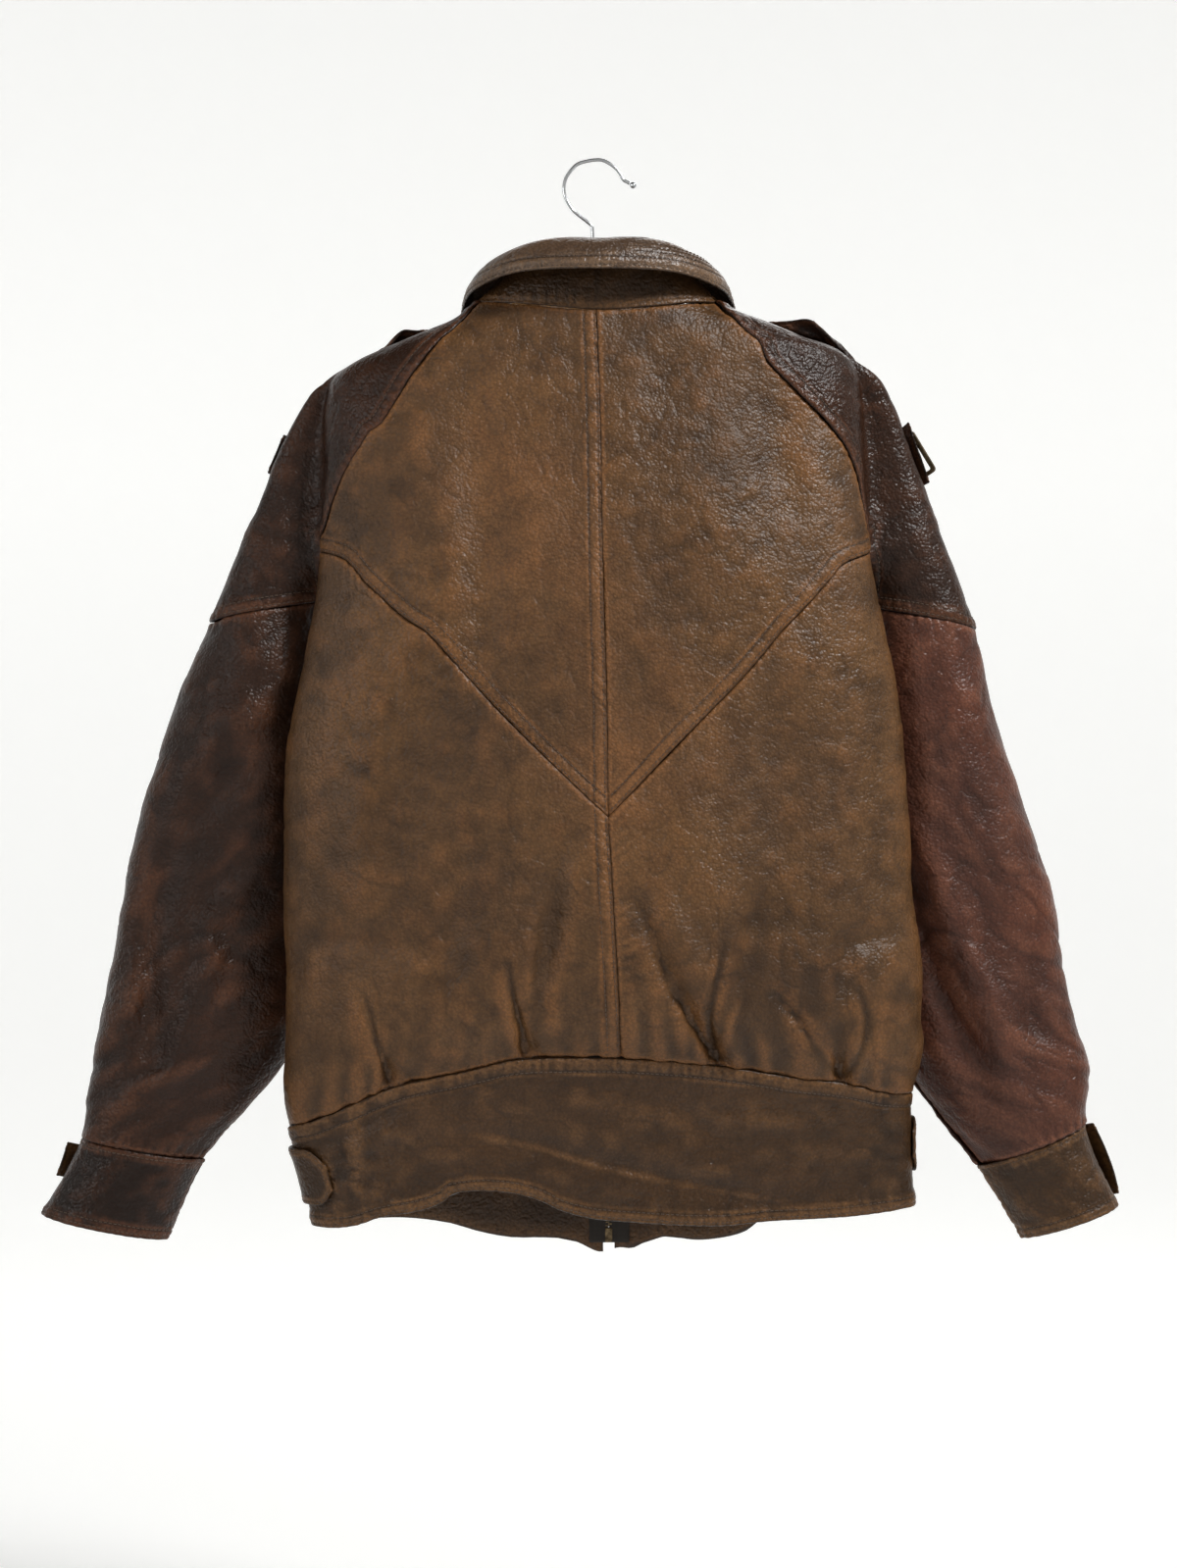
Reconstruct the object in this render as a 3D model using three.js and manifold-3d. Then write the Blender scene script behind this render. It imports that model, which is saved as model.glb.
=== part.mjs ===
import * as THREE from 'three';
import { mergeVertices } from 'three/addons/utils/BufferGeometryUtils.js';
import Module from 'manifold-3d';

// Worn leather blouson jacket, hung by its shoulders on a wooden hanger with a wire hook.
// Millimetres, +Z up. The back of the jacket faces -Y and its fronts face +Y.
// The origin is the underside of the hook's arch, where it bears on what holds it.

const wasm = await Module();
wasm.setup();

// Leather and seams
const LEATHER = 1.8;
const SEAM_GAP = 0.3;
const NORMAL_STEP = 1.2;
const UNDERARM_EASE = 1.3;

// Body of the jacket
const MIDDLE_X = 4;
const BACK_ROUND = 2.6;
const FRONT_HOLLOW = [[-104, 0.8], [-175, 0.9], [-260, 1.3], [-400, 1.5], [-790, 1.5]];
const SIDE_SEAM_ANGLE = 97;
const BACK_DEPTH = [[-104, 38], [-113, 42], [-150, 46], [-200, 49], [-300, 51], [-500, 50], [-640, 43], [-790, 38]];
const FRONT_DEPTH = [[-104, 34], [-172, 36], [-250, 46], [-400, 54], [-600, 57], [-700, 48], [-790, 43]];
const SIDE_Y = [[-104, 0], [-165, -1], [-220, -7], [-277, -12], [-400, -16], [-600, -16], [-700, -9], [-790, -5]];
const LEFT_EDGE = [
  [-100, -78], [-104, -85], [-108, -91], [-116, -102], [-122.5, -117], [-133, -144], [-145, -171], [-155, -184],
  [-165, -189], [-185, -190.5], [-220, -191], [-248, -192], [-281, -194], [-310, -197], [-340, -201.6],
  [-406, -212.8], [-458, -217.7], [-520, -218.5], [-585, -219.5], [-633, -221.2], [-655, -221.5], [-675, -220],
  [-703, -213.7], [-725, -207], [-758, -201], [-795, -199],
];
const RIGHT_EDGE = [
  [-100, 84], [-103.5, 90.5], [-107, 98], [-111, 107], [-115.5, 120], [-127, 148], [-134.5, 170], [-142, 181], [-150, 186],
  [-160, 189], [-185, 190.5], [-224, 191], [-262, 193], [-281, 194.6], [-310, 200], [-336, 205], [-374, 213],
  [-411, 218.4], [-451, 220.5], [-521, 224.7], [-573, 229], [-608, 228.5], [-628, 230.5], [-645, 228],
  [-659, 225], [-678, 224], [-724, 225.4], [-742, 227], [-795, 227],
];

// Seams, as points [x, z] seen from the back
const CENTRE_SEAM = [
  [-113, 1.4], [-186, 3.7], [-304, 5.8], [-396, 8.4], [-468, 9.4], [-515, 12.1], [-634, 18.2], [-760, 20],
];
const ZIP_X = 10.5;
const RAGLAN_BACK_LEFT = [
  [-79.5, -103.6], [-91, -116.2], [-103.8, -128.8], [-123.2, -151.9], [-147, -189.7], [-157.8, -199.2],
  [-164.7, -210], [-175.7, -228.2], [-184.1, -247.8], [-189.5, -264],
];
const RAGLAN_BACK_RIGHT = [
  [85.5, -103], [96.5, -116.2], [119, -143.5], [141.4, -169.1], [162.4, -190], [178.5, -210.7],
  [185.5, -228.6], [189, -247.8], [191.5, -263],
];
const YOKE_LEFT = [[-177, -286.3], [-159.2, -304.5], [-131.6, -329.4], [-109.2, -346.5], [-56.7, -404.6], [9.4, -468]];
const YOKE_RIGHT = [[177, -289], [162.4, -303.8], [136.5, -331.5], [121.8, -348.6], [69.3, -405.3], [9.4, -468]];
const UNDERARM_Z = -281;
const NECK_BACK_Z = [[-92, -103.6], [-69, -106.4], [-38, -109.6], [2, -113], [45, -110.2], [67, -107], [96, -103.6]];
const NECK_FRONT = [[-84, -118], [-68, -138], [-44, -157], [-20, -168], [ZIP_X, -172]];
const RAGLAN_FRONT = [[-84, -118], [-100, -142], [-124, -180], [-150, -222], [-172, -256]];

// Waistband
const BAND_TOP = [
  [-222, -692], [-215, -689.5], [-172, -670.6], [-138, -655.9], [-92, -645.4], [-55, -636.7], [-20, -635.3],
  [24, -635.8], [84, -640.5], [141, -649.6], [174, -653.8], [202, -660.8], [228, -665],
];
const BACK_HEM = [
  [-210, -758.2], [-201, -758.1], [-183, -755.3], [-164, -749], [-132, -743.4], [-116, -737.8], [-106, -731.5],
  [-83, -729], [-60, -730.8], [-42, -735.7], [-26, -742.7], [-3.5, -748.3], [22, -750.8], [86, -753.9],
  [125, -750.8], [173, -749], [204, -746.2], [230, -743.4],
];
const FRONT_BAND_TOP = [[-222, -692], [-150, -694], [ZIP_X, -694], [150, -684], [228, -665]];
const FRONT_HEM = [
  [-210, -758.2], [-183, -758.1], [-148, -758.5], [-113, -763.7], [-92, -770], [-67, -774.9], [-38, -775.6],
  [-20, -777], [-10, -780.5], [3, -786], [18, -783], [28, -783.3], [38, -778], [52, -774.9], [73, -777],
  [92, -774.9], [108, -770], [118, -762], [128, -752], [173, -748], [230, -743.4],
];
const PUFF = 14;
const PUFF_HEIGHT = 55;
const SEAM_CALM = 7;
const PLEAT_EASE = 0.18;

// Pleats pinched into the waistband: x at the band, x at the top, height, depth, width
const PLEATS = [
  { foot: -138, head: -156, height: 40, depth: 7, width: 5 },
  { foot: -47, head: -56, height: 52, depth: 7, width: 5 },
  { foot: 86, head: 58, height: 56, depth: 8, width: 6 },
  { foot: 174, head: 160, height: 46, depth: 8, width: 5 },
];

// Largest folds of the back: points [x, z] along the fold, depth into the jacket (+) or out (-), width
const BACK_FOLDS = [
  { along: [[-84, -170], [-78, -280], [-76, -370]], depth: 4, width: 15 },
  { along: [[132, -175], [134, -265]], depth: 4, width: 18 },
  { along: [[132, -390], [130, -480], [118, -560]], depth: 4, width: 16 },
  { along: [[-24, -484], [-33, -560], [-38, -592]], depth: 6, width: 9 },
  { along: [[-92, -495], [-98, -540], [-104, -578]], depth: 5, width: 15 },
  { along: [[-206, -560], [-170, -552], [-118, -562]], depth: 5, width: 12 },
  { along: [[31, -528], [62, -596], [85, -632]], depth: 5, width: 7 },
  { along: [[46, -524], [74, -588]], depth: -4, width: 10 },
  { along: [[113, -525], [98, -592]], depth: 5, width: 9 },
  { along: [[206, -548], [176, -556], [172, -590]], depth: 5, width: 10 },
  { along: [[124, -588], [146, -614], [173, -646]], depth: 4, width: 5 },
  { along: [[-150, -400], [-166, -470], [-160, -530]], depth: -3, width: 14 },
  { along: [[60, -400], [64, -500]], depth: -3, width: 18 },
];
const BAND_FOLDS = [
  { along: [[-92, -690], [-40, -697], [59, -722], [129, -739]], depth: 3, width: 8 },
  { along: [[-176, -712], [-150, -690], [-120, -676]], depth: -3, width: 9 },
  { along: [[60, -668], [90, -700]], depth: 2.5, width: 9 },
];

// Sleeves, as stations from the neck to the cuff: outer outline and inner edge [x, z], and their y
const CAP_STATIONS = 12;
const UPPER_STATIONS = 14;
const SLEEVE_STATIONS = 30;
const CUFF_STATIONS = 33;
const SLEEVE_BACK_COLUMNS = 10;
const SLEEVE_FRONT_COLUMNS = 6;
const LEFT_CAP = [
  [-85, -104], [-100, -115], [-118, -122.5], [-134, -129], [-150, -135.5], [-166, -142.5], [-181, -150],
  [-193, -158.5], [-203, -167], [-214, -185], [-226, -208], [-239, -239], [-254, -274],
];
const RIGHT_CAP = [
  [90.5, -103.6], [107, -111], [121, -115.7], [135, -121.3], [148.4, -126.7], [161, -130.5], [174, -134.8],
  [186, -142], [197, -149], [206.5, -158.5], [217, -178], [232, -219], [248, -263],
];
const LEFT_OUTER = [
  [-265, -301], [-276.8, -328.8], [-292, -366], [-304, -401], [-315, -439], [-326, -478], [-336, -515],
  [-344, -555], [-351, -595], [-357, -632], [-364, -668], [-366, -699],
];
const LEFT_INNER = [
  [-192, -298], [-193, -313], [-189, -356], [-188, -396], [-189, -436], [-191, -476], [-194, -516],
  [-199, -556], [-206, -595], [-220, -640], [-250, -675], [-281.4, -715],
];
const RIGHT_OUTER = [
  [262, -300], [274.8, -334], [284, -372], [294, -408], [304.5, -445], [315.5, -480], [325.5, -516],
  [332.5, -552], [339.5, -588], [348, -622], [355, -650], [350.7, -688.8],
];
const RIGHT_INNER = [
  [197, -299], [197, -318], [192, -358], [190, -398], [190, -440], [192, -480], [196, -520],
  [201, -560], [209, -600], [222, -645], [248, -684], [277, -719.6],
];
const LEFT_CUFF_END = { outer: [-396, -753], inner: [-307, -772] };
const RIGHT_CUFF_END = { outer: [374.5, -747], inner: [307.8, -770.7] };
const RIDGE_Z = [
  [0, -104], [5, -143], [6, -151], [7, -162], [8, -176], [9, -196], [10, -220], [11, -249], [12, UNDERARM_Z],
];
const OUTER_Y = [[0, 0], [7, 0], [8, 2], [10, 8], [12, 13], [14, 15], [20, 16], [26, 13], [30, 8], [33, 6]];
const INNER_Y = [[12, -10], [13, 6], [14, 16], [16, 25], [20, 28], [26, 28], [28, 24], [30, 15], [33, 10]];
const SLEEVE_BACK_BULGE = [[7, 2], [8, 10], [10, 20], [12, 32], [14, 42], [18, 48], [26, 46], [30, 34], [33, 32]];
const SLEEVE_FRONT_BULGE = [[7, 2], [8, 10], [10, 18], [12, 26], [14, 32], [18, 36], [26, 36], [30, 32], [33, 30]];
const VALLEY = [[6, 0], [7, 5], [8, 12], [10, 20], [11, 17], [12, 6], [13, -10], [14, -22], [16, -44], [20, -48],
  [26, -46], [30, -34], [33, -32]];
const SLEEVE_FOLDS = {
  left: [
    { along: [[-331, -548], [-327, -585], [-331, -609], [-332, -640]], depth: -5, width: 7 },
    { along: [[-302, -495], [-318, -551], [-318, -596], [-314, -642]], depth: 10, width: 10 },
    { along: [[-227, -499], [-249, -517], [-275, -545], [-271, -570], [-286, -608], [-305, -660]], depth: -7, width: 9 },
    { along: [[-236, -380], [-262, -407], [-301, -442]], depth: -4, width: 16 },
    { along: [[-240, -420], [-270, -452], [-298, -480]], depth: 5, width: 13 },
    { along: [[-232, -622], [-258, -652]], depth: 5, width: 7 },
  ],
  right: [
    { along: [[232, -480], [260, -558], [281, -595], [290, -638], [303, -680]], depth: -6, width: 11 },
    { along: [[222, -510], [244, -575], [262, -620], [280, -670]], depth: 9, width: 12 },
    { along: [[308.7, -533], [308.7, -603], [315, -628]], depth: 4, width: 6 },
    { along: [[333, -586], [335, -628], [341, -680]], depth: 3, width: 5 },
    { along: [[262, -370], [275, -440], [292, -500]], depth: -3, width: 18 },
  ],
};

// Collar: points [x, y, z] round the neck from the left front end to the right front end
const COLLAR_FOLD = [
  [-2, 31, -140], [-36, 28, -128], [-56, 17, -112], [-65, 4, -97], [-66, -10, -86], [-54, -27, -75], [-30, -35, -67],
  [2, -38, -67],
  [34, -36, -66], [57, -28, -73], [71, -11, -85], [70, 4, -97], [61, 17, -112], [42, 28, -128], [23, 31, -140],
];
const COLLAR_EDGE = [
  [-10, 47, -198], [-50, 45, -188], [-82, 38, -147], [-95, 20, -113], [-91.5, -2, -100.5], [-80, -31, -95],
  [-54, -52, -89], [2, -63, -88],
  [55, -53, -89], [82, -34, -94], [97, -4, -99], [100, 20, -110], [88, 38, -145], [62, 45, -188], [31, 47, -198],
];
const COLLAR_COLUMNS = 30;
const FOLD_ROLL = 6;
const FOLD_START = 1;
const NECK_CLEAR = 0.45;
const NECK_EASE = 0.9;
const NECK_EASE_REACH = 8;
const NECK_MIDDLE = [2, 0];

// Tabs and cuffs
const SIDE_TAB_WIDTH = 40;
const CUFF_THICK = 2.4;
const LAP_GAP = 0.4;
const BUCKLE_HALF_LENGTH = 9;
const BUCKLE_HALF_WIDTH = 17;
const BUCKLE_WIRE = 3;
const BUCKLE_THICK = 2;
const BUCKLE_ROW = 10.75;
const BUCKLE_COLUMN = 0.3;

// Zip
const TAPE_WIDTH = 12;
const CHAIN_WIDTH = 5.4;
const CHAIN_THICK = 2.2;
const ZIP_TOP_Z = -178;
const ZIP_ROWS = 26;
const ZIP_BOTTOM_Z = -779;
const SLIDER_Z = -186;
const SLIDER_HEIGHT = 10;
const SLIDER_WIDTH = 7.2;
const SLIDER_THICK = 3;
const BRIDGE_HALF = 3.6;
const BRIDGE_RISE = 4.6;
const BRIDGE_WIRE = 1.1;
const BRIDGE_WIDTH = 1.6;
const PULL_BAR = 1.2;
const PULL_AXIS_RISE = 1.35;
const PULL_WIDTH = 6;
const PULL_LENGTH = 24;
const EYE_LENGTH = 5;
const TAPE_THICK = 0.8;
const BOX_HEIGHT = 11;
const BOX_THICK = 3.4;

// Hanger
const BAR_THICK = 9;
const BAR_HEIGHT = 20;
const BAR_CHAMFER = 4;
const BAR_DROP = 5.5;
const BAR_END_SHARE = 0.55;
const BAR_CLEAR = LEATHER / 2 + SEAM_GAP + 0.2;
const WIRE_RADIUS = 1.35;
const BEAD_RADIUS = 2.5;
const BAR_TOP_Z = -98;
const HOOK_PATH = [
  [25.2, -15.4], [23.4, -14.4], [20.6, -12.7], [18.7, -9.1], [16.1, -5.6], [11.7, -1.8], [5.6, 1.2], [0, 1.35],
  [-2.8, 1], [-11.7, -1.5], [-16.7, -6.2], [-20.4, -11.8], [-21.8, -17.9], [-21.5, -22.4], [-19.5, -28],
  [-15.6, -34.2], [-10.6, -38.6], [-5.6, -42.5], [-2, -45.9], [-1.4, -50], [-1.4, -70], [-1.4, BAR_TOP_Z + SEAM_GAP],
];

// Finishes
const LEATHER_BACK = { color: 0x4a3524, roughness: 0.55, metalness: 0 };
const LEATHER_SLEEVE = { color: 0x3b2620, roughness: 0.5, metalness: 0 };
const LEATHER_TRIM = { color: 0x3a281d, roughness: 0.5, metalness: 0 };
const ZIP_CLOTH = { color: 0x1d1a18, roughness: 0.9, metalness: 0 };
const ZIP_METAL = { color: 0x9a9183, roughness: 0.35, metalness: 1 };
const WOOD = { color: 0xb88a5a, roughness: 0.6, metalness: 0 };
const CHROME = { color: 0xcfd2d4, roughness: 0.15, metalness: 1 };

const jacket = new THREE.Group();
const radians = THREE.MathUtils.degToRad;
const clamp = THREE.MathUtils.clamp;

// Smooth curve through rows of [position, value], with a slope at each row from its neighbours
function curveThrough(rows) {
  const sorted = [...rows].sort((a, b) => a[0] - b[0]);
  const last = sorted.length - 1;
  const slope = (i) => {
    const before = sorted[Math.max(i - 1, 0)];
    const after = sorted[Math.min(i + 1, last)];
    return (after[1] - before[1]) / (after[0] - before[0]);
  };
  return (at) => {
    if (at <= sorted[0][0]) return sorted[0][1];
    if (at >= sorted[last][0]) return sorted[last][1];
    const i = sorted.findIndex((row, n) => n < last && at < sorted[n + 1][0]);
    const span = sorted[i + 1][0] - sorted[i][0];
    const u = (at - sorted[i][0]) / span;
    const h00 = (1 + 2 * u) * (1 - u) ** 2;
    const h01 = u * u * (3 - 2 * u);
    const h10 = u * (1 - u) ** 2;
    const h11 = u * u * (u - 1);
    return h00 * sorted[i][1] + h01 * sorted[i + 1][1] + span * (h10 * slope(i) + h11 * slope(i + 1));
  };
}

const backDepth = curveThrough(BACK_DEPTH);
const frontDepth = curveThrough(FRONT_DEPTH);
const sideY = curveThrough(SIDE_Y);
const frontHollow = curveThrough(FRONT_HOLLOW);
const leftEdge = curveThrough(LEFT_EDGE);
const rightEdge = curveThrough(RIGHT_EDGE);
const centreSeamX = curveThrough(CENTRE_SEAM);
const bandTopZ = curveThrough(BAND_TOP);
const backHemZ = curveThrough(BACK_HEM);
const frontHemZ = curveThrough(FRONT_HEM);
const frontBandTopZ = curveThrough(FRONT_BAND_TOP);
const neckBackZ = curveThrough(NECK_BACK_Z);

const halfWidth = (z, sign) => Math.abs((sign < 0 ? leftEdge(z) : rightEdge(z)) - MIDDLE_X);

// Angle round the body, 0 at the back and 180 at the front, for a place seen from the back
function backAngle(x, z) {
  const sign = x < MIDDLE_X ? -1 : 1;
  const part = clamp(Math.abs(x - MIDDLE_X) / halfWidth(z, sign), 0, 1);
  return sign * THREE.MathUtils.radToDeg(Math.asin(part));
}
function frontAngle(x, z, side) {
  const part = clamp((side * (x - MIDDLE_X)) / halfWidth(z, side), -1, 1);
  return side * (180 - THREE.MathUtils.radToDeg(Math.asin(part)));
}

// Depth of the folds at a place: each is a soft trough or ridge that dies out at its two ends
function foldDepth(folds, x, z) {
  let depth = 0;
  for (const fold of folds) {
    let nearest = Infinity;
    let travel = 0;
    const pieces = fold.along.length - 1;
    for (let i = 0; i < pieces; i += 1) {
      const [ax, az] = fold.along[i];
      const [bx, bz] = fold.along[i + 1];
      const length = Math.hypot(bx - ax, bz - az);
      const t = clamp(((x - ax) * (bx - ax) + (z - az) * (bz - az)) / length ** 2, 0, 1);
      const away = Math.hypot(x - ax - t * (bx - ax), z - az - t * (bz - az));
      if (away < nearest) {
        nearest = away;
        travel = (i + t) / pieces;
      }
    }
    const ends = Math.sin(Math.PI * (0.12 + 0.76 * travel));
    depth += fold.depth * ends * Math.exp(-((nearest / fold.width) ** 2));
  }
  return depth;
}

// Pinch of the pleats, deepest at the waistband, and the blouse of the back above it
function pleatDepth(x, rise) {
  let depth = 0;
  for (const pleat of PLEATS) {
    const up = clamp(rise / pleat.height, 0, 1);
    const line = pleat.foot + (pleat.head - pleat.foot) * up;
    const width = pleat.width * (1 + 0.8 * up);
    depth += pleat.depth * (1 - up) ** 0.8 * Math.exp(-(((x - line) / width) ** 2));
    depth -= 0.45 * pleat.depth * (1 - up) * Math.exp(-(((x - line - 2.2 * width) / width) ** 2));
  }
  return depth;
}

// One place on the body of the jacket, by its angle and height
function bodyPoint(anyAngle, z) {
  const angle = THREE.MathUtils.euclideanModulo(anyAngle + 180, 360) - 180;
  const sign = angle < 0 ? -1 : 1;
  const turn = Math.abs(angle);
  const isBack = turn <= 90;
  const sine = Math.sin(radians(turn));
  const cosine = Math.abs(Math.cos(radians(turn)));
  const x = MIDDLE_X + sign * halfWidth(z, sign) * sine;
  if (!isBack) return new THREE.Vector3(x, sideY(z) + frontDepth(z) * cosine ** frontHollow(z), z);
  const rise = z - bandTopZ(x);
  const puff = rise > 0 ? PUFF * (rise / PUFF_HEIGHT) * Math.exp(1 - rise / PUFF_HEIGHT) : 0;
  const start = clamp(Math.abs(rise) / SEAM_CALM, 0, 1);
  const folds = rise > 0 ? foldDepth(BACK_FOLDS, x, z) + pleatDepth(x, rise) : foldDepth(BAND_FOLDS, x, z);
  const away = clamp((90 - turn) / 25, 0, 1);
  const bow = Math.max(1 - sine ** BACK_ROUND, 0) ** (1 / BACK_ROUND);
  return new THREE.Vector3(x, sideY(z) - (backDepth(z) + puff) * bow + folds * away * start, z);
}

// The same place with its outward normal, from places close by
function bodySurface(angle, z) {
  const turn = NORMAL_STEP;
  const across = bodyPoint(angle + turn, z).sub(bodyPoint(angle - turn, z));
  const up = bodyPoint(angle, z + turn).sub(bodyPoint(angle, z - turn));
  return { point: bodyPoint(angle, z), normal: across.cross(up).normalize() };
}

// Closed solid of one cut piece: a grid of surface places given the thickness of the leather
function sheetGeometry(grid, thick = LEATHER, lift = 0) {
  const rows = grid.length;
  const columns = grid[0].length;
  const positions = [];
  for (const side of [0.5, -0.5]) {
    for (const row of grid) {
      for (const { point, normal } of row) {
        const out = point.clone().addScaledVector(normal, side * thick + lift);
        positions.push(out.x, out.y, out.z);
      }
    }
  }
  const at = (layer, j, i) => layer * rows * columns + j * columns + i;
  const index = [];
  const quad = (a, b, c, d) => index.push(a, b, c, a, c, d);
  for (let j = 0; j < rows - 1; j += 1) {
    for (let i = 0; i < columns - 1; i += 1) {
      quad(at(0, j, i), at(0, j + 1, i), at(0, j + 1, i + 1), at(0, j, i + 1));
      quad(at(1, j, i), at(1, j, i + 1), at(1, j + 1, i + 1), at(1, j + 1, i));
    }
  }
  for (let i = 0; i < columns - 1; i += 1) {
    quad(at(0, 0, i), at(0, 0, i + 1), at(1, 0, i + 1), at(1, 0, i));
    quad(at(0, rows - 1, i + 1), at(0, rows - 1, i), at(1, rows - 1, i), at(1, rows - 1, i + 1));
  }
  for (let j = 0; j < rows - 1; j += 1) {
    quad(at(0, j + 1, 0), at(0, j, 0), at(1, j, 0), at(1, j + 1, 0));
    quad(at(0, j, columns - 1), at(0, j + 1, columns - 1), at(1, j + 1, columns - 1), at(1, j, columns - 1));
  }
  return closedGeometry(positions, index);
}

// Geometry with its faces turned outwards, by the sign of its volume
function closedGeometry(positions, index) {
  const corner = (i) => new THREE.Vector3().fromArray(positions, 3 * index[i]);
  let volume = 0;
  for (let i = 0; i < index.length; i += 3) volume += corner(i).dot(corner(i + 1).cross(corner(i + 2)));
  if (volume < 0) index.reverse();
  const geometry = new THREE.BufferGeometry();
  geometry.setAttribute('position', new THREE.Float32BufferAttribute(positions, 3));
  geometry.setIndex(index);
  geometry.computeVertexNormals();
  return geometry;
}

// Edges of a grid drawn back by half the seam gap: top, bottom, first and last columns
function trimmed(grid, edges, more = () => 0) {
  const pull = (place, next, row) => {
    const step = next.clone().sub(place.point);
    place.point.addScaledVector(step.normalize(), SEAM_GAP / 2 + more(row));
  };
  const rows = grid.length;
  const columns = grid[0].length;
  if (edges.includes('top')) grid[0].forEach((place, i) => pull(place, grid[1][i].point, -1));
  if (edges.includes('bottom')) grid[rows - 1].forEach((place, i) => pull(place, grid[rows - 2][i].point, -1));
  if (edges.includes('first')) grid.forEach((row, j) => pull(row[0], row[1].point, j));
  if (edges.includes('last')) grid.forEach((row, j) => pull(row[columns - 1], row[columns - 2].point, j));
  return grid;
}

function add(name, geometry, finish) {
  const mesh = new THREE.Mesh(geometry, new THREE.MeshStandardMaterial(finish));
  mesh.name = name;
  jacket.add(mesh);
  return mesh;
}

// Patch of the body between four edges of [angle, z] places with equal counts on facing edges
function bodyPatch(top, bottom, first, last) {
  const columns = top.length - 1;
  const rows = first.length - 1;
  const grid = [];
  for (let j = 0; j <= rows; j += 1) {
    const v = j / rows;
    const row = [];
    for (let i = 0; i <= columns; i += 1) {
      const u = i / columns;
      const value = (k) => (1 - v) * top[i][k] + v * bottom[i][k] + (1 - u) * first[j][k] + u * last[j][k]
        - (1 - u) * (1 - v) * top[0][k] - u * (1 - v) * top[columns][k]
        - (1 - u) * v * bottom[0][k] - u * v * bottom[columns][k];
      row.push(bodySurface(value(0), value(1)));
    }
    grid.push(row);
  }
  return grid;
}

// Even places along a smooth line through points of [angle, z]
function placesAlong(points, steps) {
  const line = new THREE.SplineCurve(points.map(([a, b]) => new THREE.Vector2(a, b)));
  return Array.from({ length: steps + 1 }, (_, i) => line.getPointAt(i / steps).toArray());
}

const SIDE_X = { left: -219, right: 226 };
const LAST_PLEAT_X = { left: -219.5, right: 224 };
const PLEAT_CROWDING = 2.4;
const PLEAT_REACH = 11;
const UNDERARM_TURN = 89;
const NECK_MIDDLE_Z = -113;
const YOKE_TIP_Z = -468;
const FRONT_NECK_Z = -172;
const BACK_COLUMNS = 17;
const LOWER_ROWS = 13;
const BAND_ROWS = 4;
const FRONT_COLUMNS = 8;
const sides = [
  { name: 'left', sign: -1, raglan: RAGLAN_BACK_LEFT, yoke: YOKE_LEFT },
  { name: 'right', sign: 1, raglan: RAGLAN_BACK_RIGHT, yoke: YOKE_RIGHT },
];

// Columns of the lower back and the waistband, closer together at the pleats
function bandXs(name) {
  const from = centreSeamX(bandTopZ(18));
  const to = LAST_PLEAT_X[name];
  const samples = 400;
  const density = (x) => PLEATS.reduce((sum, p) => sum + PLEAT_CROWDING * Math.exp(-(((x - p.foot) / PLEAT_REACH) ** 2)), 1);
  const total = [0];
  for (let i = 1; i <= samples; i += 1) {
    total.push(total[i - 1] + density(from + ((i - 0.5) / samples) * (to - from)));
  }
  return Array.from({ length: BACK_COLUMNS }, (_, n) => {
    const wanted = (n / BACK_COLUMNS) * total[samples];
    const i = total.findIndex((sum) => sum >= wanted);
    return from + (i / samples) * (to - from);
  });
}

for (const side of sides) {
  const { sign } = side;
  side.underarm = [sign * SIDE_SEAM_ANGLE, UNDERARM_Z];
  const raglanBack = side.raglan.map(([x, z]) => [backAngle(x, z), z]);
  side.raglanBack = placesAlong([...raglanBack, [sign * UNDERARM_TURN, UNDERARM_Z + 8], side.underarm], CAP_STATIONS);
  const mirrored = (rows) => rows.map(([x, z]) => [sign < 0 ? x : 2 * MIDDLE_X - x, z]);
  const raglanFront = mirrored(RAGLAN_FRONT).map(([x, z]) => [frontAngle(x, z, sign), z]);
  side.raglanFront = placesAlong([...raglanFront, side.underarm], CAP_STATIONS);
  const bandPlaces = bandXs(side.name).map((x) => [backAngle(x, bandTopZ(x)), bandTopZ(x)]);
  side.bandBack = [...bandPlaces, [sign * SIDE_SEAM_ANGLE, bandTopZ(SIDE_X[side.name])]];
  side.sideSeam = placesAlong([side.underarm, side.bandBack[BACK_COLUMNS]], LOWER_ROWS);
}

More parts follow.
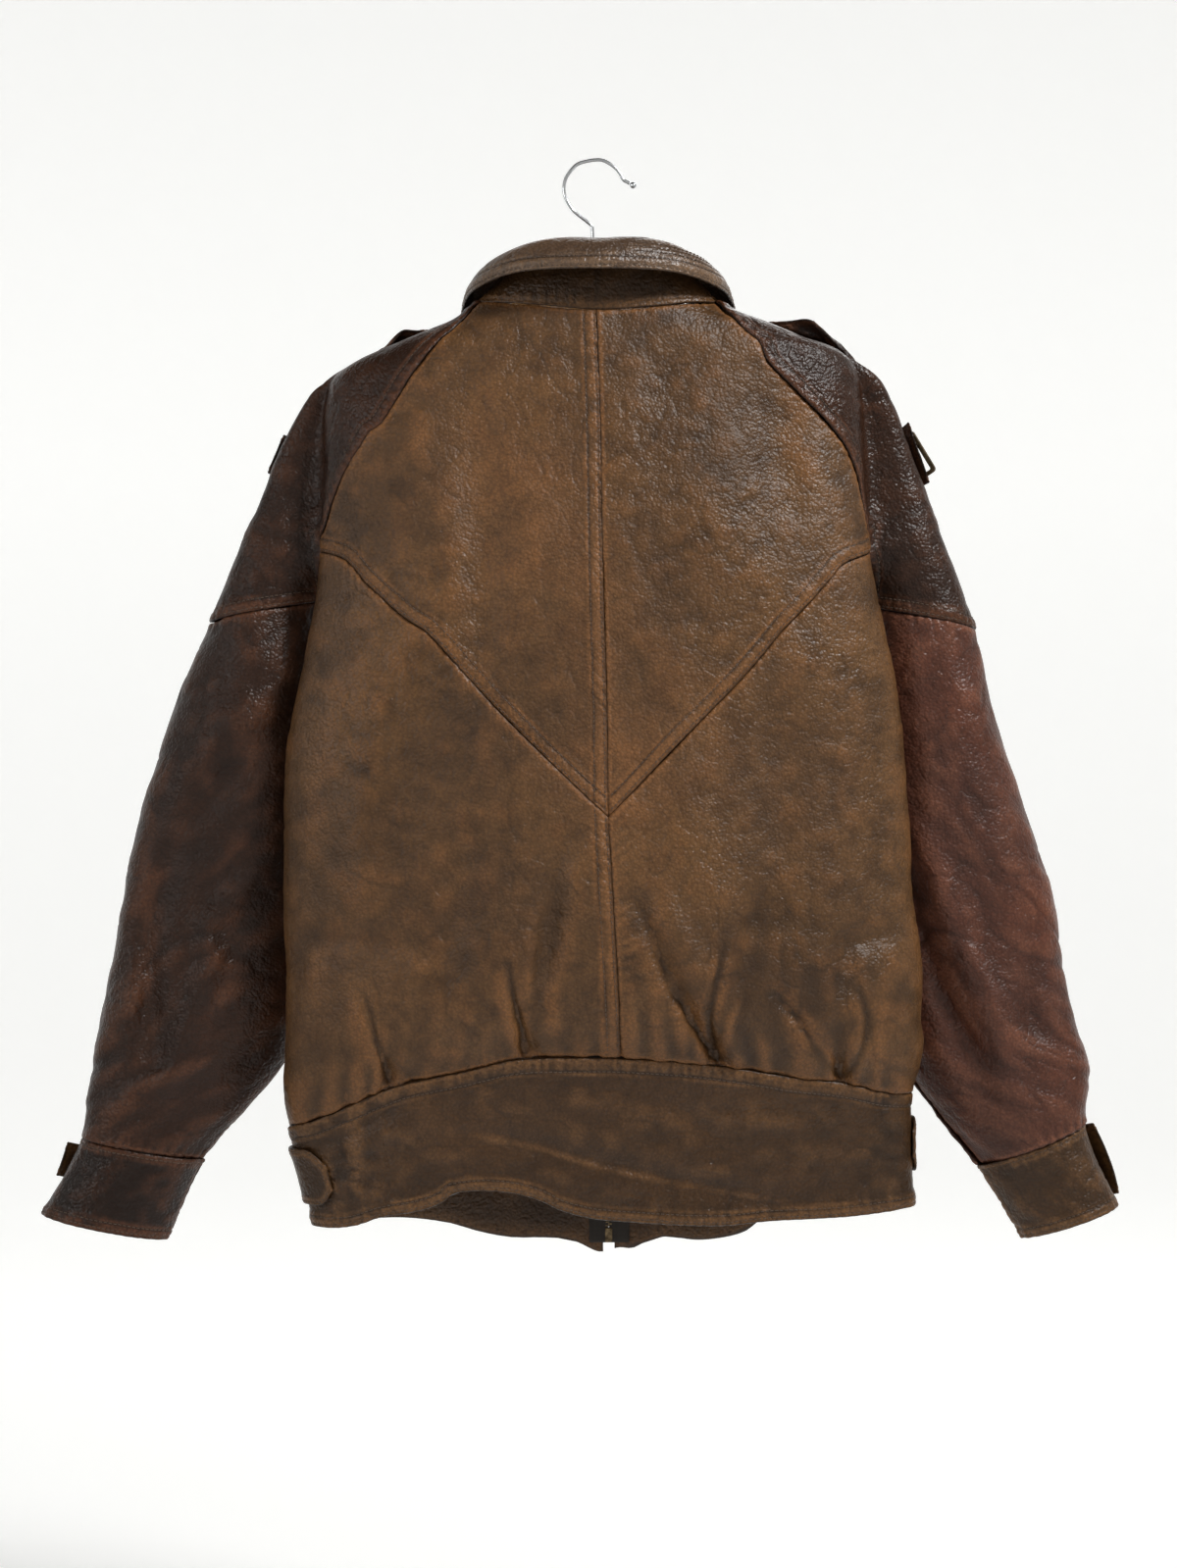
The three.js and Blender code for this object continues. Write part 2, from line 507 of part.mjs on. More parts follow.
// Back yoke, in two halves joined down the middle and pointed at the foot
for (const { name, sign, raglan, raglanBack, yoke, underarm } of sides) {
  const centre = Array.from({ length: CAP_STATIONS + 1 }, (_, j) => {
    const z = NECK_MIDDLE_Z + ((YOKE_TIP_Z - NECK_MIDDLE_Z) * j) / CAP_STATIONS;
    return [backAngle(centreSeamX(z), z), z];
  });
  const neckEnd = raglan[0][0];
  const neck = Array.from({ length: BACK_COLUMNS + 1 }, (_, i) => {
    const x = centreSeamX(NECK_MIDDLE_Z) + ((neckEnd - centreSeamX(NECK_MIDDLE_Z)) * i) / BACK_COLUMNS;
    return [backAngle(x, neckBackZ(x)), neckBackZ(x)];
  });
  neck[0] = centre[0];
  neck[BACK_COLUMNS] = raglanBack[0];
  const seam = yoke.map(([x, z]) => [backAngle(x, z), z]).reverse();
  const foot = placesAlong([...seam, [sign * UNDERARM_TURN, UNDERARM_Z + 1], underarm], BACK_COLUMNS);
  foot[0] = centre[CAP_STATIONS];
  const grid = bodyPatch(neck, foot, centre, raglanBack);
  add(`back_yoke_${name}`, sheetGeometry(trimmed(grid, ['top', 'bottom', 'first', 'last'])), LEATHER_BACK);
  const lowerCentre = Array.from({ length: LOWER_ROWS + 1 }, (_, j) => {
    const z = YOKE_TIP_Z + ((bandTopZ(18.2) - YOKE_TIP_Z) * j) / LOWER_ROWS;
    return [backAngle(centreSeamX(z), z), z];
  });
  const side = sides.find((one) => one.name === name);
  side.bandBack[0] = lowerCentre[LOWER_ROWS];
  const lower = bodyPatch(foot, side.bandBack, lowerCentre, side.sideSeam);
  const pleated = trimmed(lower, ['top', 'bottom', 'first', 'last'], (row) => (row < 0 ? PLEAT_EASE : 0));
  add(`lower_back_${name}`, sheetGeometry(pleated), LEATHER_BACK);
}

// Waistband across the back
function bandRow(places, hem, v) {
  return places.map(([angle, z]) => {
    const x = bodyPoint(angle, z).x;
    return bodySurface(angle, z + (hem(x) - z) * v);
  });
}
const bandPlaces = [...sides[0].bandBack].reverse().concat(sides[1].bandBack.slice(1));
const bandGrid = Array.from({ length: BAND_ROWS + 1 }, (_, j) => bandRow(bandPlaces, backHemZ, j / BAND_ROWS));
add('waistband_back', sheetGeometry(trimmed(bandGrid, ['top', 'first', 'last'])), LEATHER_TRIM);

// Fronts and their waistband, plain, from the raglan and side seams to the zip
for (const side of sides) {
  const { name, sign } = side;
  const edge = ZIP_X + sign * (CHAIN_WIDTH / 2 + SEAM_GAP + 1);
  const reach = (x, z) => [frontAngle(x, z, sign), z];
  const topX = NECK_FRONT.map(([x, z]) => [sign < 0 ? x : 2 * MIDDLE_X - x, z]).slice(0, -1);
  const neck = placesAlong([...topX.map(([x, z]) => reach(x, z)), reach(edge, FRONT_NECK_Z)], FRONT_COLUMNS);
  neck[0] = side.raglanFront[0];
  side.frontNeck = neck;
  const outer = [...side.raglanFront, ...side.sideSeam.slice(1)];
  const rows = outer.length - 1;
  const zEnd = frontBandTopZ(edge);
  const middle = Array.from({ length: rows + 1 }, (_, j) => reach(edge, FRONT_NECK_Z + ((zEnd - FRONT_NECK_Z) * j) / rows));
  neck[FRONT_COLUMNS] = middle[0];
  const foot = Array.from({ length: FRONT_COLUMNS + 1 }, (_, i) => {
    const angle = sign * SIDE_SEAM_ANGLE + ((middle[rows][0] - sign * SIDE_SEAM_ANGLE) * i) / FRONT_COLUMNS;
    return [angle, frontBandTopZ(bodyPoint(angle, -690).x)];
  });
  foot[0] = outer[rows];
  foot[FRONT_COLUMNS] = middle[rows];
  const grid = bodyPatch(neck, foot, outer, middle);
  add(`front_${name}`, sheetGeometry(trimmed(grid, ['top', 'bottom', 'first'])), LEATHER_BACK);
  const columns = 2 * FRONT_COLUMNS;
  const places = Array.from({ length: columns + 1 }, (_, i) => {
    const k = Math.min(Math.floor(i / 2), FRONT_COLUMNS - 1);
    const t = i / 2 - k;
    return [0, 1].map((n) => foot[k][n] + t * (foot[k + 1][n] - foot[k][n]));
  });
  const band = Array.from({ length: BAND_ROWS + 1 }, (_, j) => bandRow(places, frontHemZ, j / BAND_ROWS));
  add(`waistband_front_${name}`, sheetGeometry(trimmed(band, ['top', 'first'])), LEATHER_TRIM);
}

// Sleeves: each station runs from the back seam over the outer outline to the front seam
const SLEEVE_COLUMNS = SLEEVE_BACK_COLUMNS + SLEEVE_FRONT_COLUMNS;
const LINE_STEPS = 24;
const ridgeZ = curveThrough(RIDGE_Z);
const outerY = curveThrough(OUTER_Y);
const innerY = curveThrough(INNER_Y);
const backBulge = curveThrough(SLEEVE_BACK_BULGE);
const frontBulge = curveThrough(SLEEVE_FRONT_BULGE);
const valley = curveThrough(VALLEY);
const ridgeAngle = curveThrough([[0, 84], [6, 86], [10, 88], [11, 90.5], [12, SIDE_SEAM_ANGLE]]);
const ridgeFrontAngle = curveThrough([[0, 94], [11, 95], [12, SIDE_SEAM_ANGLE]]);

function prepareSleeve(side) {
  const left = side.sign < 0;
  const cap = left ? LEFT_CAP : RIGHT_CAP;
  const outer = left ? LEFT_OUTER : RIGHT_OUTER;
  const inner = left ? LEFT_INNER : RIGHT_INNER;
  const end = left ? LEFT_CUFF_END : RIGHT_CUFF_END;
  const lowerStation = (i) => (i === 0 ? UPPER_STATIONS - 1
    : UPPER_STATIONS + ((i - 1) / (outer.length - 2)) * (SLEEVE_STATIONS - UPPER_STATIONS));
  const outerRows = cap.map((place, i) => [i, place]);
  outer.forEach((place, i) => outerRows.push([lowerStation(i), place]));
  outerRows.push([CUFF_STATIONS, end.outer]);
  const arm = bodyPoint(...side.underarm);
  const innerRows = [[CAP_STATIONS, [arm.x, arm.z]]];
  inner.forEach((place, i) => innerRows.push([lowerStation(i), place]));
  innerRows.push([CUFF_STATIONS, end.inner]);
  const part = (rows, n) => curveThrough(rows.map(([k, place]) => [k, place[n]]));
  side.outerX = part(outerRows, 0);
  side.outerZ = part(outerRows, 1);
  side.innerX = part(innerRows, 0);
  side.innerZ = part(innerRows, 1);
  side.sections = new Map();
}

function alongPlaces(places, k) {
  const i = clamp(Math.floor(k), 0, places.length - 2);
  return [0, 1].map((n) => places[i][n] + (k - i) * (places[i + 1][n] - places[i][n]));
}

// Line of body points between two places, and a curve between two points with y handles
function bodyLine(from, to) {
  return Array.from({ length: LINE_STEPS + 1 }, (_, i) => {
    const t = i / LINE_STEPS;
    return bodyPoint(from[0] + t * (to[0] - from[0]), from[1] + t * (to[1] - from[1]));
  });
}
function bulgedLine(from, fromHandle, to, toHandle) {
  const reach = to.clone().sub(from);
  const first = from.clone().addScaledVector(reach, 0.15).add(new THREE.Vector3(0, fromHandle, 0));
  const second = to.clone().addScaledVector(reach, -0.04).add(new THREE.Vector3(0, toHandle, 0));
  return new THREE.CubicBezierCurve3(from, first, second, to).getPoints(LINE_STEPS);
}

// Back and front halves of one sleeve section, each as a line of points
function sleeveSection(side, k) {
  if (side.sections.has(k)) return side.sections.get(k);
  const { sign } = side;
  const outer = new THREE.Vector3(side.outerX(k), outerY(k), side.outerZ(k));
  let back;
  let front;
  if (k < CAP_STATIONS) {
    const ridge = [sign * ridgeAngle(k), Math.min(ridgeZ(k), outer.z - 0.4)];
    const frontRidge = [sign * ridgeFrontAngle(k), ridge[1]];
    back = bodyLine(alongPlaces(side.raglanBack, k), ridge);
    back.push(...bulgedLine(bodyPoint(...ridge), valley(k), outer, -backBulge(k)).slice(1));
    front = bulgedLine(outer, frontBulge(k), bodyPoint(...frontRidge), Math.max(valley(k), 0));
    front.push(...bodyLine(frontRidge, alongPlaces(side.raglanFront, k)).slice(1));
  } else {
    const inner = new THREE.Vector3(side.innerX(k), innerY(k), side.innerZ(k));
    if (k === CAP_STATIONS) inner.copy(bodyPoint(...side.underarm));
    back = bulgedLine(inner, valley(k), outer, -backBulge(k));
    front = bulgedLine(outer, frontBulge(k), inner, Math.max(-valley(k) * 0.75, valley(k)));
  }
  const section = { back, front };
  side.sections.set(k, section);
  return section;
}

// Point at a share of the length of a line
function pointAtShare(line, share) {
  const travel = [0];
  for (let i = 1; i < line.length; i += 1) travel.push(travel[i - 1] + line[i].distanceTo(line[i - 1]));
  const wanted = clamp(share, 0, 1) * travel[line.length - 1];
  let i = 1;
  while (i < line.length - 1 && travel[i] < wanted) i += 1;
  const span = travel[i] - travel[i - 1] || 1;
  return line[i - 1].clone().lerp(line[i], (wanted - travel[i - 1]) / span);
}

function sleevePoint(side, k, column) {
  const section = sleeveSection(side, clamp(k, 0, CUFF_STATIONS));
  if (column > SLEEVE_BACK_COLUMNS) {
    return pointAtShare(section.front, (column - SLEEVE_BACK_COLUMNS) / SLEEVE_FRONT_COLUMNS);
  }
  const share = clamp(column / SLEEVE_BACK_COLUMNS, 0, 1);
  const point = pointAtShare(section.back, share);
  const calm = clamp((k - UPPER_STATIONS) / 1.5, 0, 1) * clamp((SLEEVE_STATIONS - k) / 1.5, 0, 1);
  point.y += foldDepth(SLEEVE_FOLDS[side.name], point.x, point.z) * calm * Math.sin(Math.PI * share) ** 0.7;
  return point;
}

function sleeveSurface(side, k, column) {
  const step = 0.2;
  const across = sleevePoint(side, k, Math.min(column + step, SLEEVE_COLUMNS))
    .sub(sleevePoint(side, k, Math.max(column - step, 0)));
  const along = sleevePoint(side, Math.min(k + step, CUFF_STATIONS), column)
    .sub(sleevePoint(side, Math.max(k - step, 0), column));
  const normal = along.cross(across).normalize().multiplyScalar(side.sign);
  return { point: sleevePoint(side, k, column), normal };
}

function sleeveGrid(side, from, to, rows = to - from) {
  return Array.from({ length: rows + 1 }, (_, j) => Array.from({ length: SLEEVE_COLUMNS + 1 }, (_, i) => (
    sleeveSurface(side, from + ((to - from) * j) / rows, i))));
}

const all = ['top', 'bottom', 'first', 'last'];
for (const side of sides) {
  prepareSleeve(side);
  const { name } = side;
  const nearArm = (j) => UNDERARM_EASE * Math.exp(-(((j - CAP_STATIONS) / 1.3) ** 2));
  const upper = trimmed(sleeveGrid(side, 0, UPPER_STATIONS), all, nearArm);
  side.upperGrid = upper;
  add(`sleeve_upper_${name}`, sheetGeometry(upper), LEATHER_SLEEVE);
  const lower = trimmed(sleeveGrid(side, UPPER_STATIONS, SLEEVE_STATIONS), all);
  add(`sleeve_lower_${name}`, sheetGeometry(lower), LEATHER_SLEEVE);
  const cuff = trimmed(sleeveGrid(side, SLEEVE_STATIONS, CUFF_STATIONS), ['top', 'first', 'last']);
  side.cuffGrid = cuff;
  add(`cuff_${name}`, sheetGeometry(cuff, CUFF_THICK), LEATHER_TRIM);
}

// Collar: the stand rises from the neck seam to the fold, and the fall turns down from it
const neckEdge = [];
const neckInside = [];
function takeNeck(places, inside) {
  places.forEach((point, i) => {
    const previous = neckEdge[neckEdge.length - 1];
    if (previous && previous.distanceTo(point) < 1) return;
    neckEdge.push(point);
    neckInside.push(inside[i]);
  });
}
const BELOW_NECK = 6;
function neckOf(side, order) {
  const front = side.frontNeck.map(([a, z]) => bodyPoint(a, z)).reverse();
  const frontLow = side.frontNeck.map(([a, z]) => bodyPoint(a, z - BELOW_NECK)).reverse();
  const cap = Array.from({ length: SLEEVE_COLUMNS + 1 }, (_, i) => sleevePoint(side, 0, SLEEVE_COLUMNS - i));
  const capLow = Array.from({ length: SLEEVE_COLUMNS + 1 }, (_, i) => sleevePoint(side, 0.4, SLEEVE_COLUMNS - i));
  const xs = Array.from({ length: 9 }, (_, i) => cap[SLEEVE_COLUMNS].x + ((MIDDLE_X - cap[SLEEVE_COLUMNS].x) * i) / 8);
  const back = xs.map((x) => bodyPoint(backAngle(x, neckBackZ(x)), neckBackZ(x)));
  const backLow = xs.map((x) => bodyPoint(backAngle(x, neckBackZ(x) - BELOW_NECK), neckBackZ(x) - BELOW_NECK));
  const edge = [...front, ...cap, ...back];
  const inside = [...frontLow, ...capLow, ...backLow];
  if (order < 0) takeNeck(edge, inside);
  else takeNeck(edge.reverse(), inside.reverse());
}
neckOf(sides[0], -1);
neckOf(sides[1], 1);
const smoothLine = (rows) => new THREE.CatmullRomCurve3(rows.map((row) => new THREE.Vector3(...row)));
const foldCurve = smoothLine(COLLAR_FOLD);
const edgeCurve = smoothLine(COLLAR_EDGE);
const compass = (point) => Math.atan2(point.x - NECK_MIDDLE[0], NECK_MIDDLE[1] - point.y);

// The neck seam below a point of the fold, raised clear of the panels by how far the stand turns up
function neckBelow(fold) {
  const wanted = compass(fold);
  let i = 1;
  while (i < neckEdge.length - 1 && compass(neckEdge[i]) < wanted) i += 1;
  const from = compass(neckEdge[i - 1]);
  const t = clamp((wanted - from) / (compass(neckEdge[i]) - from), 0, 1);
  const base = neckEdge[i - 1].clone().lerp(neckEdge[i], t);
  const cloth = base.clone().sub(neckInside[i - 1].clone().lerp(neckInside[i], t)).normalize();
  const rise = fold.clone().sub(base).normalize();
  const turned = Math.sqrt(Math.max(1 - cloth.dot(rise) ** 2, 0));
  const ease = NECK_CLEAR + NECK_EASE * Math.exp(-((base.y / NECK_EASE_REACH) ** 2));
  return base.addScaledVector(rise, ease + turned * (LEATHER + SEAM_GAP));
}
function collarPlaces(share) {
  const fold = foldCurve.getPoint(share);
  return { base: neckBelow(fold), fold, edge: edgeCurve.getPoint(share) };
}
function standPoint(share, v) {
  const { base, fold } = collarPlaces(share);
  return base.lerp(fold, v);
}
// The fall starts at the fold, rounds over by its roll and comes down to its edge
function fallPoint(share, v) {
  const { base, fold, edge } = collarPlaces(share);
  const rise = fold.clone().sub(base).normalize();
  const outside = foldCurve.getTangent(share).cross(rise).normalize();
  const top = fold.clone().addScaledVector(rise, FOLD_START);
  const out = edge.clone().sub(top);
  const drop = out.z;
  out.z = 0;
  const over = top.clone().addScaledVector(rise, FOLD_ROLL).addScaledVector(outside, FOLD_ROLL);
  const shoulder = top.clone().addScaledVector(out, 0.9).addScaledVector(outside, FOLD_ROLL);
  shoulder.z += drop * 0.2;
  return new THREE.CubicBezierCurve3(top, over, shoulder, edge).getPoint(v);
}
function shapedGrid(pointAt, columns, rows) {
  const step = 0.01;
  const place = (u, v) => {
    const across = pointAt(Math.min(u + step, 1), v).sub(pointAt(Math.max(u - step, 0), v));
    const along = pointAt(u, Math.min(v + step, 1)).sub(pointAt(u, Math.max(v - step, 0)));
    return { point: pointAt(u, v), normal: along.cross(across).normalize() };
  };
  return Array.from({ length: rows + 1 }, (_, j) => (
    Array.from({ length: columns + 1 }, (_, i) => place(i / columns, j / rows))));
}
add('collar_stand', sheetGeometry(shapedGrid(standPoint, COLLAR_COLUMNS, 3)), LEATHER_TRIM);
add('collar_fall', sheetGeometry(shapedGrid(fallPoint, COLLAR_COLUMNS, 5)), LEATHER_TRIM);

// A place of a panel's own grid, between its rows and columns
function panelPlace(grid, row, column) {
  const j = clamp(Math.floor(row), 0, grid.length - 2);
  const i = clamp(Math.floor(column), 0, grid[0].length - 2);
  const mix = (key) => {
    const upper = grid[j][i][key].clone().lerp(grid[j][i + 1][key], column - i);
    return upper.lerp(grid[j + 1][i][key].clone().lerp(grid[j + 1][i + 1][key], column - i), row - j);
  };
  return { point: mix('point'), normal: mix('normal').normalize() };
}

// A piece that lies on a panel: the panel's places moved out, with a free end that may stand away
function lapped(name, placeAt, liftAt, us, vs, finish, under = LEATHER) {
  const clear = under / 2 + LAP_GAP + LEATHER / 2;
  const grid = vs.map((v) => us.map((u) => {
    const { point, normal } = placeAt(u, v);
    return { point: point.addScaledVector(normal, clear + liftAt(u, v)), normal };
  }));
  return add(name, sheetGeometry(grid), finish);
}
const between = (a, b, t) => a + (b - a) * t;
const steps = (from, to, count) => Array.from({ length: count + 1 }, (_, i) => between(from, to, i / count));
const roundedEnd = (u) => Math.sqrt(Math.max(1 - Math.max((u - 0.72) / 0.28, 0) ** 2, 0.06));

lapped('side_tab_left', (u, v) => {
  const half = SIDE_TAB_WIDTH * 0.5 * roundedEnd(u);
  return bodySurface(between(-108, -63, u), -722 + half * (1 - 2 * v));
}, () => 0, steps(0, 1, 8), steps(0, 1, 4), LEATHER_TRIM);
lapped('side_tab_right', (u, v) => {
  const half = SIDE_TAB_WIDTH * 0.5 * roundedEnd(1 - u);
  return bodySurface(between(84, 124, u), -701 + half * (1 - 2 * v));
}, () => 0, steps(0, 1, 8), steps(0, 1, 4), LEATHER_TRIM);

const [left, right] = sides;
const frontColumns = (list) => list.map((c) => SLEEVE_BACK_COLUMNS + c);
const flapRise = {
  left: curveThrough([[2, 0], [2.4, 3], [3, 8], [3.6, 1], [4, 0]]),
  right: curveThrough([[1.6, 0], [2.2, 2], [3.7, 14], [4.6, 9], [5.6, 1], [6, 0]]),
};
for (const [side, rows] of [[left, steps(2, 4, 8)], [right, steps(2, 6, 8)]]) {
  lapped(`shoulder_flap_${side.name}`, (k, c) => panelPlace(side.upperGrid, k, c), (k, c) => (
    flapRise[side.name](k) * (1 - (c - SLEEVE_BACK_COLUMNS) / 3) ** 1.6
  ), rows, frontColumns([0.25, 0.5, 1, 1.5, 2, 3]), LEATHER_SLEEVE);
}
const strapRise = { left: 0.5, right: 4 };
// Rows and columns of each strap on the upper sleeve's own grid
const strapRows = { left: [9.5, 9.75, 10, 10.25, 10.5], right: [10.25, 10.5, 10.75, 11, 11.25] };
const strapColumns = { left: [0, 0.25, 0.5, 0.75, 1], right: [0, 0.5, 1, 1.5, 2, 2.5, 3] };
const strapLift = (side, c) => strapRise[side.name] * (1 - (c - SLEEVE_BACK_COLUMNS) / 3) ** 2;
for (const side of sides) {
  lapped(`sleeve_strap_${side.name}`, (k, c) => panelPlace(side.upperGrid, k, c), (k, c) => strapLift(side, c),
    strapRows[side.name], frontColumns(strapColumns[side.name]), LEATHER_SLEEVE);
}

// Buckle frame on the right strap, where the strap turns round the arm
function strapTop(k, column) {
  const c = SLEEVE_BACK_COLUMNS + column;
  const { point, normal } = panelPlace(right.upperGrid, k, c);
  return point.addScaledVector(normal, 1.5 * LEATHER + LAP_GAP + strapLift(right, c));
}
const strapWay = strapTop(BUCKLE_ROW, BUCKLE_COLUMN + 0.2).sub(strapTop(BUCKLE_ROW, BUCKLE_COLUMN - 0.2)).normalize();
const armWay = strapTop(BUCKLE_ROW - 0.3, BUCKLE_COLUMN).sub(strapTop(BUCKLE_ROW + 0.3, BUCKLE_COLUMN));
const buckleOut = armWay.clone().cross(strapWay).normalize();
if (buckleOut.x < 0) buckleOut.negate();
const buckleUp = buckleOut.clone().cross(strapWay);
function roundedFrame(halfLength, halfWidth, radius) {
  const shape = new THREE.Path();
  shape.moveTo(-halfLength + radius, -halfWidth);
  shape.absarc(halfLength - radius, -halfWidth + radius, radius, -Math.PI / 2, 0, false);
  shape.absarc(halfLength - radius, halfWidth - radius, radius, 0, Math.PI / 2, false);
  shape.absarc(-halfLength + radius, halfWidth - radius, radius, Math.PI / 2, Math.PI, false);
  shape.absarc(-halfLength + radius, -halfWidth + radius, radius, Math.PI, 1.5 * Math.PI, false);
  return shape.getPoints(4);
}
const frameShape = new THREE.Shape(roundedFrame(BUCKLE_HALF_LENGTH, BUCKLE_HALF_WIDTH, BUCKLE_WIRE));
frameShape.holes.push(new THREE.Path(
  roundedFrame(BUCKLE_HALF_LENGTH - BUCKLE_WIRE, BUCKLE_HALF_WIDTH - BUCKLE_WIRE, BUCKLE_WIRE / 3)));
const buckleGeometry = new THREE.ExtrudeGeometry(frameShape, { depth: BUCKLE_THICK, bevelEnabled: false });
buckleGeometry.applyMatrix4(new THREE.Matrix4().makeBasis(strapWay, buckleUp, buckleOut));
const buckle = add('strap_buckle', buckleGeometry, ZIP_METAL);
buckle.position.copy(strapTop(BUCKLE_ROW, BUCKLE_COLUMN)).addScaledVector(buckleOut, 2 * SEAM_GAP);
lapped('cuff_tab_left', (k, c) => panelPlace(left.cuffGrid, k, c), (k, c) => (
  13 * (1 - (c - SLEEVE_BACK_COLUMNS) / 4) ** 2.5 * (1 - 0.4 * (k - 0.5))
), [0.5, 0.75, 1, 1.25, 1.5, 1.75], frontColumns([0.2, 0.5, 1, 1.5, 2, 3, 4]), LEATHER_TRIM, CUFF_THICK);
lapped('cuff_tab_right', (k, c) => panelPlace(right.cuffGrid, k, c), (k, c) => (
  12 * (1 - (c - SLEEVE_BACK_COLUMNS) / 4) ** 2 * Math.sin(Math.PI * between(0.25, 0.85, k / 2.75))
), [0.1, 0.5, 1, 1.5, 2, 2.5, 2.75], frontColumns([0.2, 0.5, 1, 1.5, 2, 3, 4]), LEATHER_TRIM, CUFF_THICK);

// Hanger: a wooden bar under the shoulders, a wire hook and the bead on its tip
function shoulderLine(side) {
  return [6, 5, 4, 3, 2, 1, 0].map((k) => sleevePoint(side, k, SLEEVE_BACK_COLUMNS));
}
const barTops = shoulderLine(left).map((p) => [p.x, p.z - BAR_CLEAR]);
barTops.push([-60, -101.5], [-25, BAR_TOP_Z], [22, BAR_TOP_Z], [66, -101.5]);
barTops.push(...shoulderLine(right).reverse().map((p) => [p.x, p.z - BAR_CLEAR]));
const half = BAR_THICK / 2;
const ring = [[-half, -BAR_CHAMFER], [-half + BAR_CHAMFER, 0], [half - BAR_CHAMFER, 0], [half, -BAR_CHAMFER],
  [half, -BAR_HEIGHT + BAR_CHAMFER], [half - BAR_CHAMFER, -BAR_HEIGHT], [-half + BAR_CHAMFER, -BAR_HEIGHT],
  [-half, -BAR_HEIGHT + BAR_CHAMFER]];
function barGeometry() {
  const positions = [];
  const reach = Math.abs(barTops[0][0]);
  for (const [x, z] of barTops) {
    const deep = 1 - (1 - BAR_END_SHARE) * Math.min(Math.abs(x) / reach, 1) ** 6;
    const drop = BAR_DROP * Math.min(Math.abs(x) / reach, 1) ** 5;
    ring.forEach(([y, dz]) => positions.push(x, y, z - drop + dz * deep));
  }
  const index = [];
  const sidesOf = ring.length;
  for (let j = 0; j < barTops.length - 1; j += 1) {
    for (let i = 0; i < sidesOf; i += 1) {
      const a = j * sidesOf + i;
      const b = j * sidesOf + ((i + 1) % sidesOf);
      index.push(a, a + sidesOf, b + sidesOf, a, b + sidesOf, b);
    }
  }
  const end = (barTops.length - 1) * sidesOf;
  for (let i = 1; i < sidesOf - 1; i += 1) {
    index.push(0, i, i + 1);
    index.push(end, end + i + 1, end + i);
  }
  return closedGeometry(positions, index);
}
add('hanger_bar', barGeometry(), WOOD);

const hookCurve = new THREE.CatmullRomCurve3(HOOK_PATH.map(([x, z]) => new THREE.Vector3(x, 0, z)));
function wireGeometry(curve, radius, steps) {
  const section = new THREE.Shape().absarc(0, 0, radius, 0, 2 * Math.PI, false);
  return new THREE.ExtrudeGeometry(section, { steps, curveSegments: 5, bevelEnabled: false, extrudePath: curve });
}
add('hanger_hook', wireGeometry(hookCurve, WIRE_RADIUS, 44), CHROME);
const tip = hookCurve.getPointAt(0);
const tipWay = hookCurve.getTangentAt(0).negate();
const bead = add('hook_bead', new THREE.SphereGeometry(BEAD_RADIUS, 12, 8), CHROME);
bead.position.copy(tip).addScaledVector(tipWay, BEAD_RADIUS + SEAM_GAP);

// Zip, closed: a tape behind each front edge, the chain between them, the box, slider and pull
const zipAngle = (dx, z) => 180 - THREE.MathUtils.radToDeg(Math.asin((ZIP_X + dx - MIDDLE_X) / halfWidth(z, 1)));
function zipStrip(name, from, to, lift, thick, topZ, bottomZ, finish) {
  const grid = Array.from({ length: ZIP_ROWS + 1 }, (_, j) => {
    const z = between(topZ, bottomZ, j / ZIP_ROWS);
    return [from, to].map((dx) => bodySurface(zipAngle(dx, z), z));
  });
  add(name, sheetGeometry(grid, thick, lift), finish);
}
const tapeInner = CHAIN_WIDTH / 2 + SEAM_GAP;
const tapeLift = -(LEATHER / 2 + 1.6 * SEAM_GAP + TAPE_THICK / 2);
zipStrip('zip_tape_left', -tapeInner - TAPE_WIDTH, -tapeInner, tapeLift, TAPE_THICK, ZIP_TOP_Z, ZIP_BOTTOM_Z, ZIP_CLOTH);
zipStrip('zip_tape_right', tapeInner, tapeInner + TAPE_WIDTH, tapeLift, TAPE_THICK, ZIP_TOP_Z, ZIP_BOTTOM_Z, ZIP_CLOTH);
const chainLift = LEATHER / 2 - CHAIN_THICK / 2 - 1;
const chainEnd = ZIP_BOTTOM_Z + BOX_HEIGHT;
zipStrip('zip_chain', -CHAIN_WIDTH / 2, CHAIN_WIDTH / 2, chainLift, CHAIN_THICK, ZIP_TOP_Z, chainEnd + SEAM_GAP, ZIP_METAL);
const boxMiddle = ZIP_BOTTOM_Z + BOX_HEIGHT / 2;
const boxSeat = bodySurface(zipAngle(0, boxMiddle), boxMiddle);
const box = add('zip_box', new THREE.BoxGeometry(CHAIN_WIDTH, BOX_THICK, BOX_HEIGHT), ZIP_METAL);
box.position.copy(boxSeat.point).addScaledVector(boxSeat.normal, chainLift);

function solidOf(geometry) {
  const bare = geometry.clone();
  bare.deleteAttribute('normal');
  bare.deleteAttribute('uv');
  const merged = mergeVertices(bare, 1e-4);
  const triVerts = new Uint32Array(merged.index.array);
  return new wasm.Manifold(new wasm.Mesh({ numProp: 3, vertProperties: merged.attributes.position.array, triVerts }));
}
function joined(first, second) {
  const mesh = solidOf(first).add(solidOf(second)).getMesh();
  const geometry = new THREE.BufferGeometry();
  geometry.setAttribute('position', new THREE.BufferAttribute(mesh.vertProperties, 3));
  geometry.setIndex(new THREE.BufferAttribute(mesh.triVerts, 1));
  geometry.computeVertexNormals();
  return geometry;
}
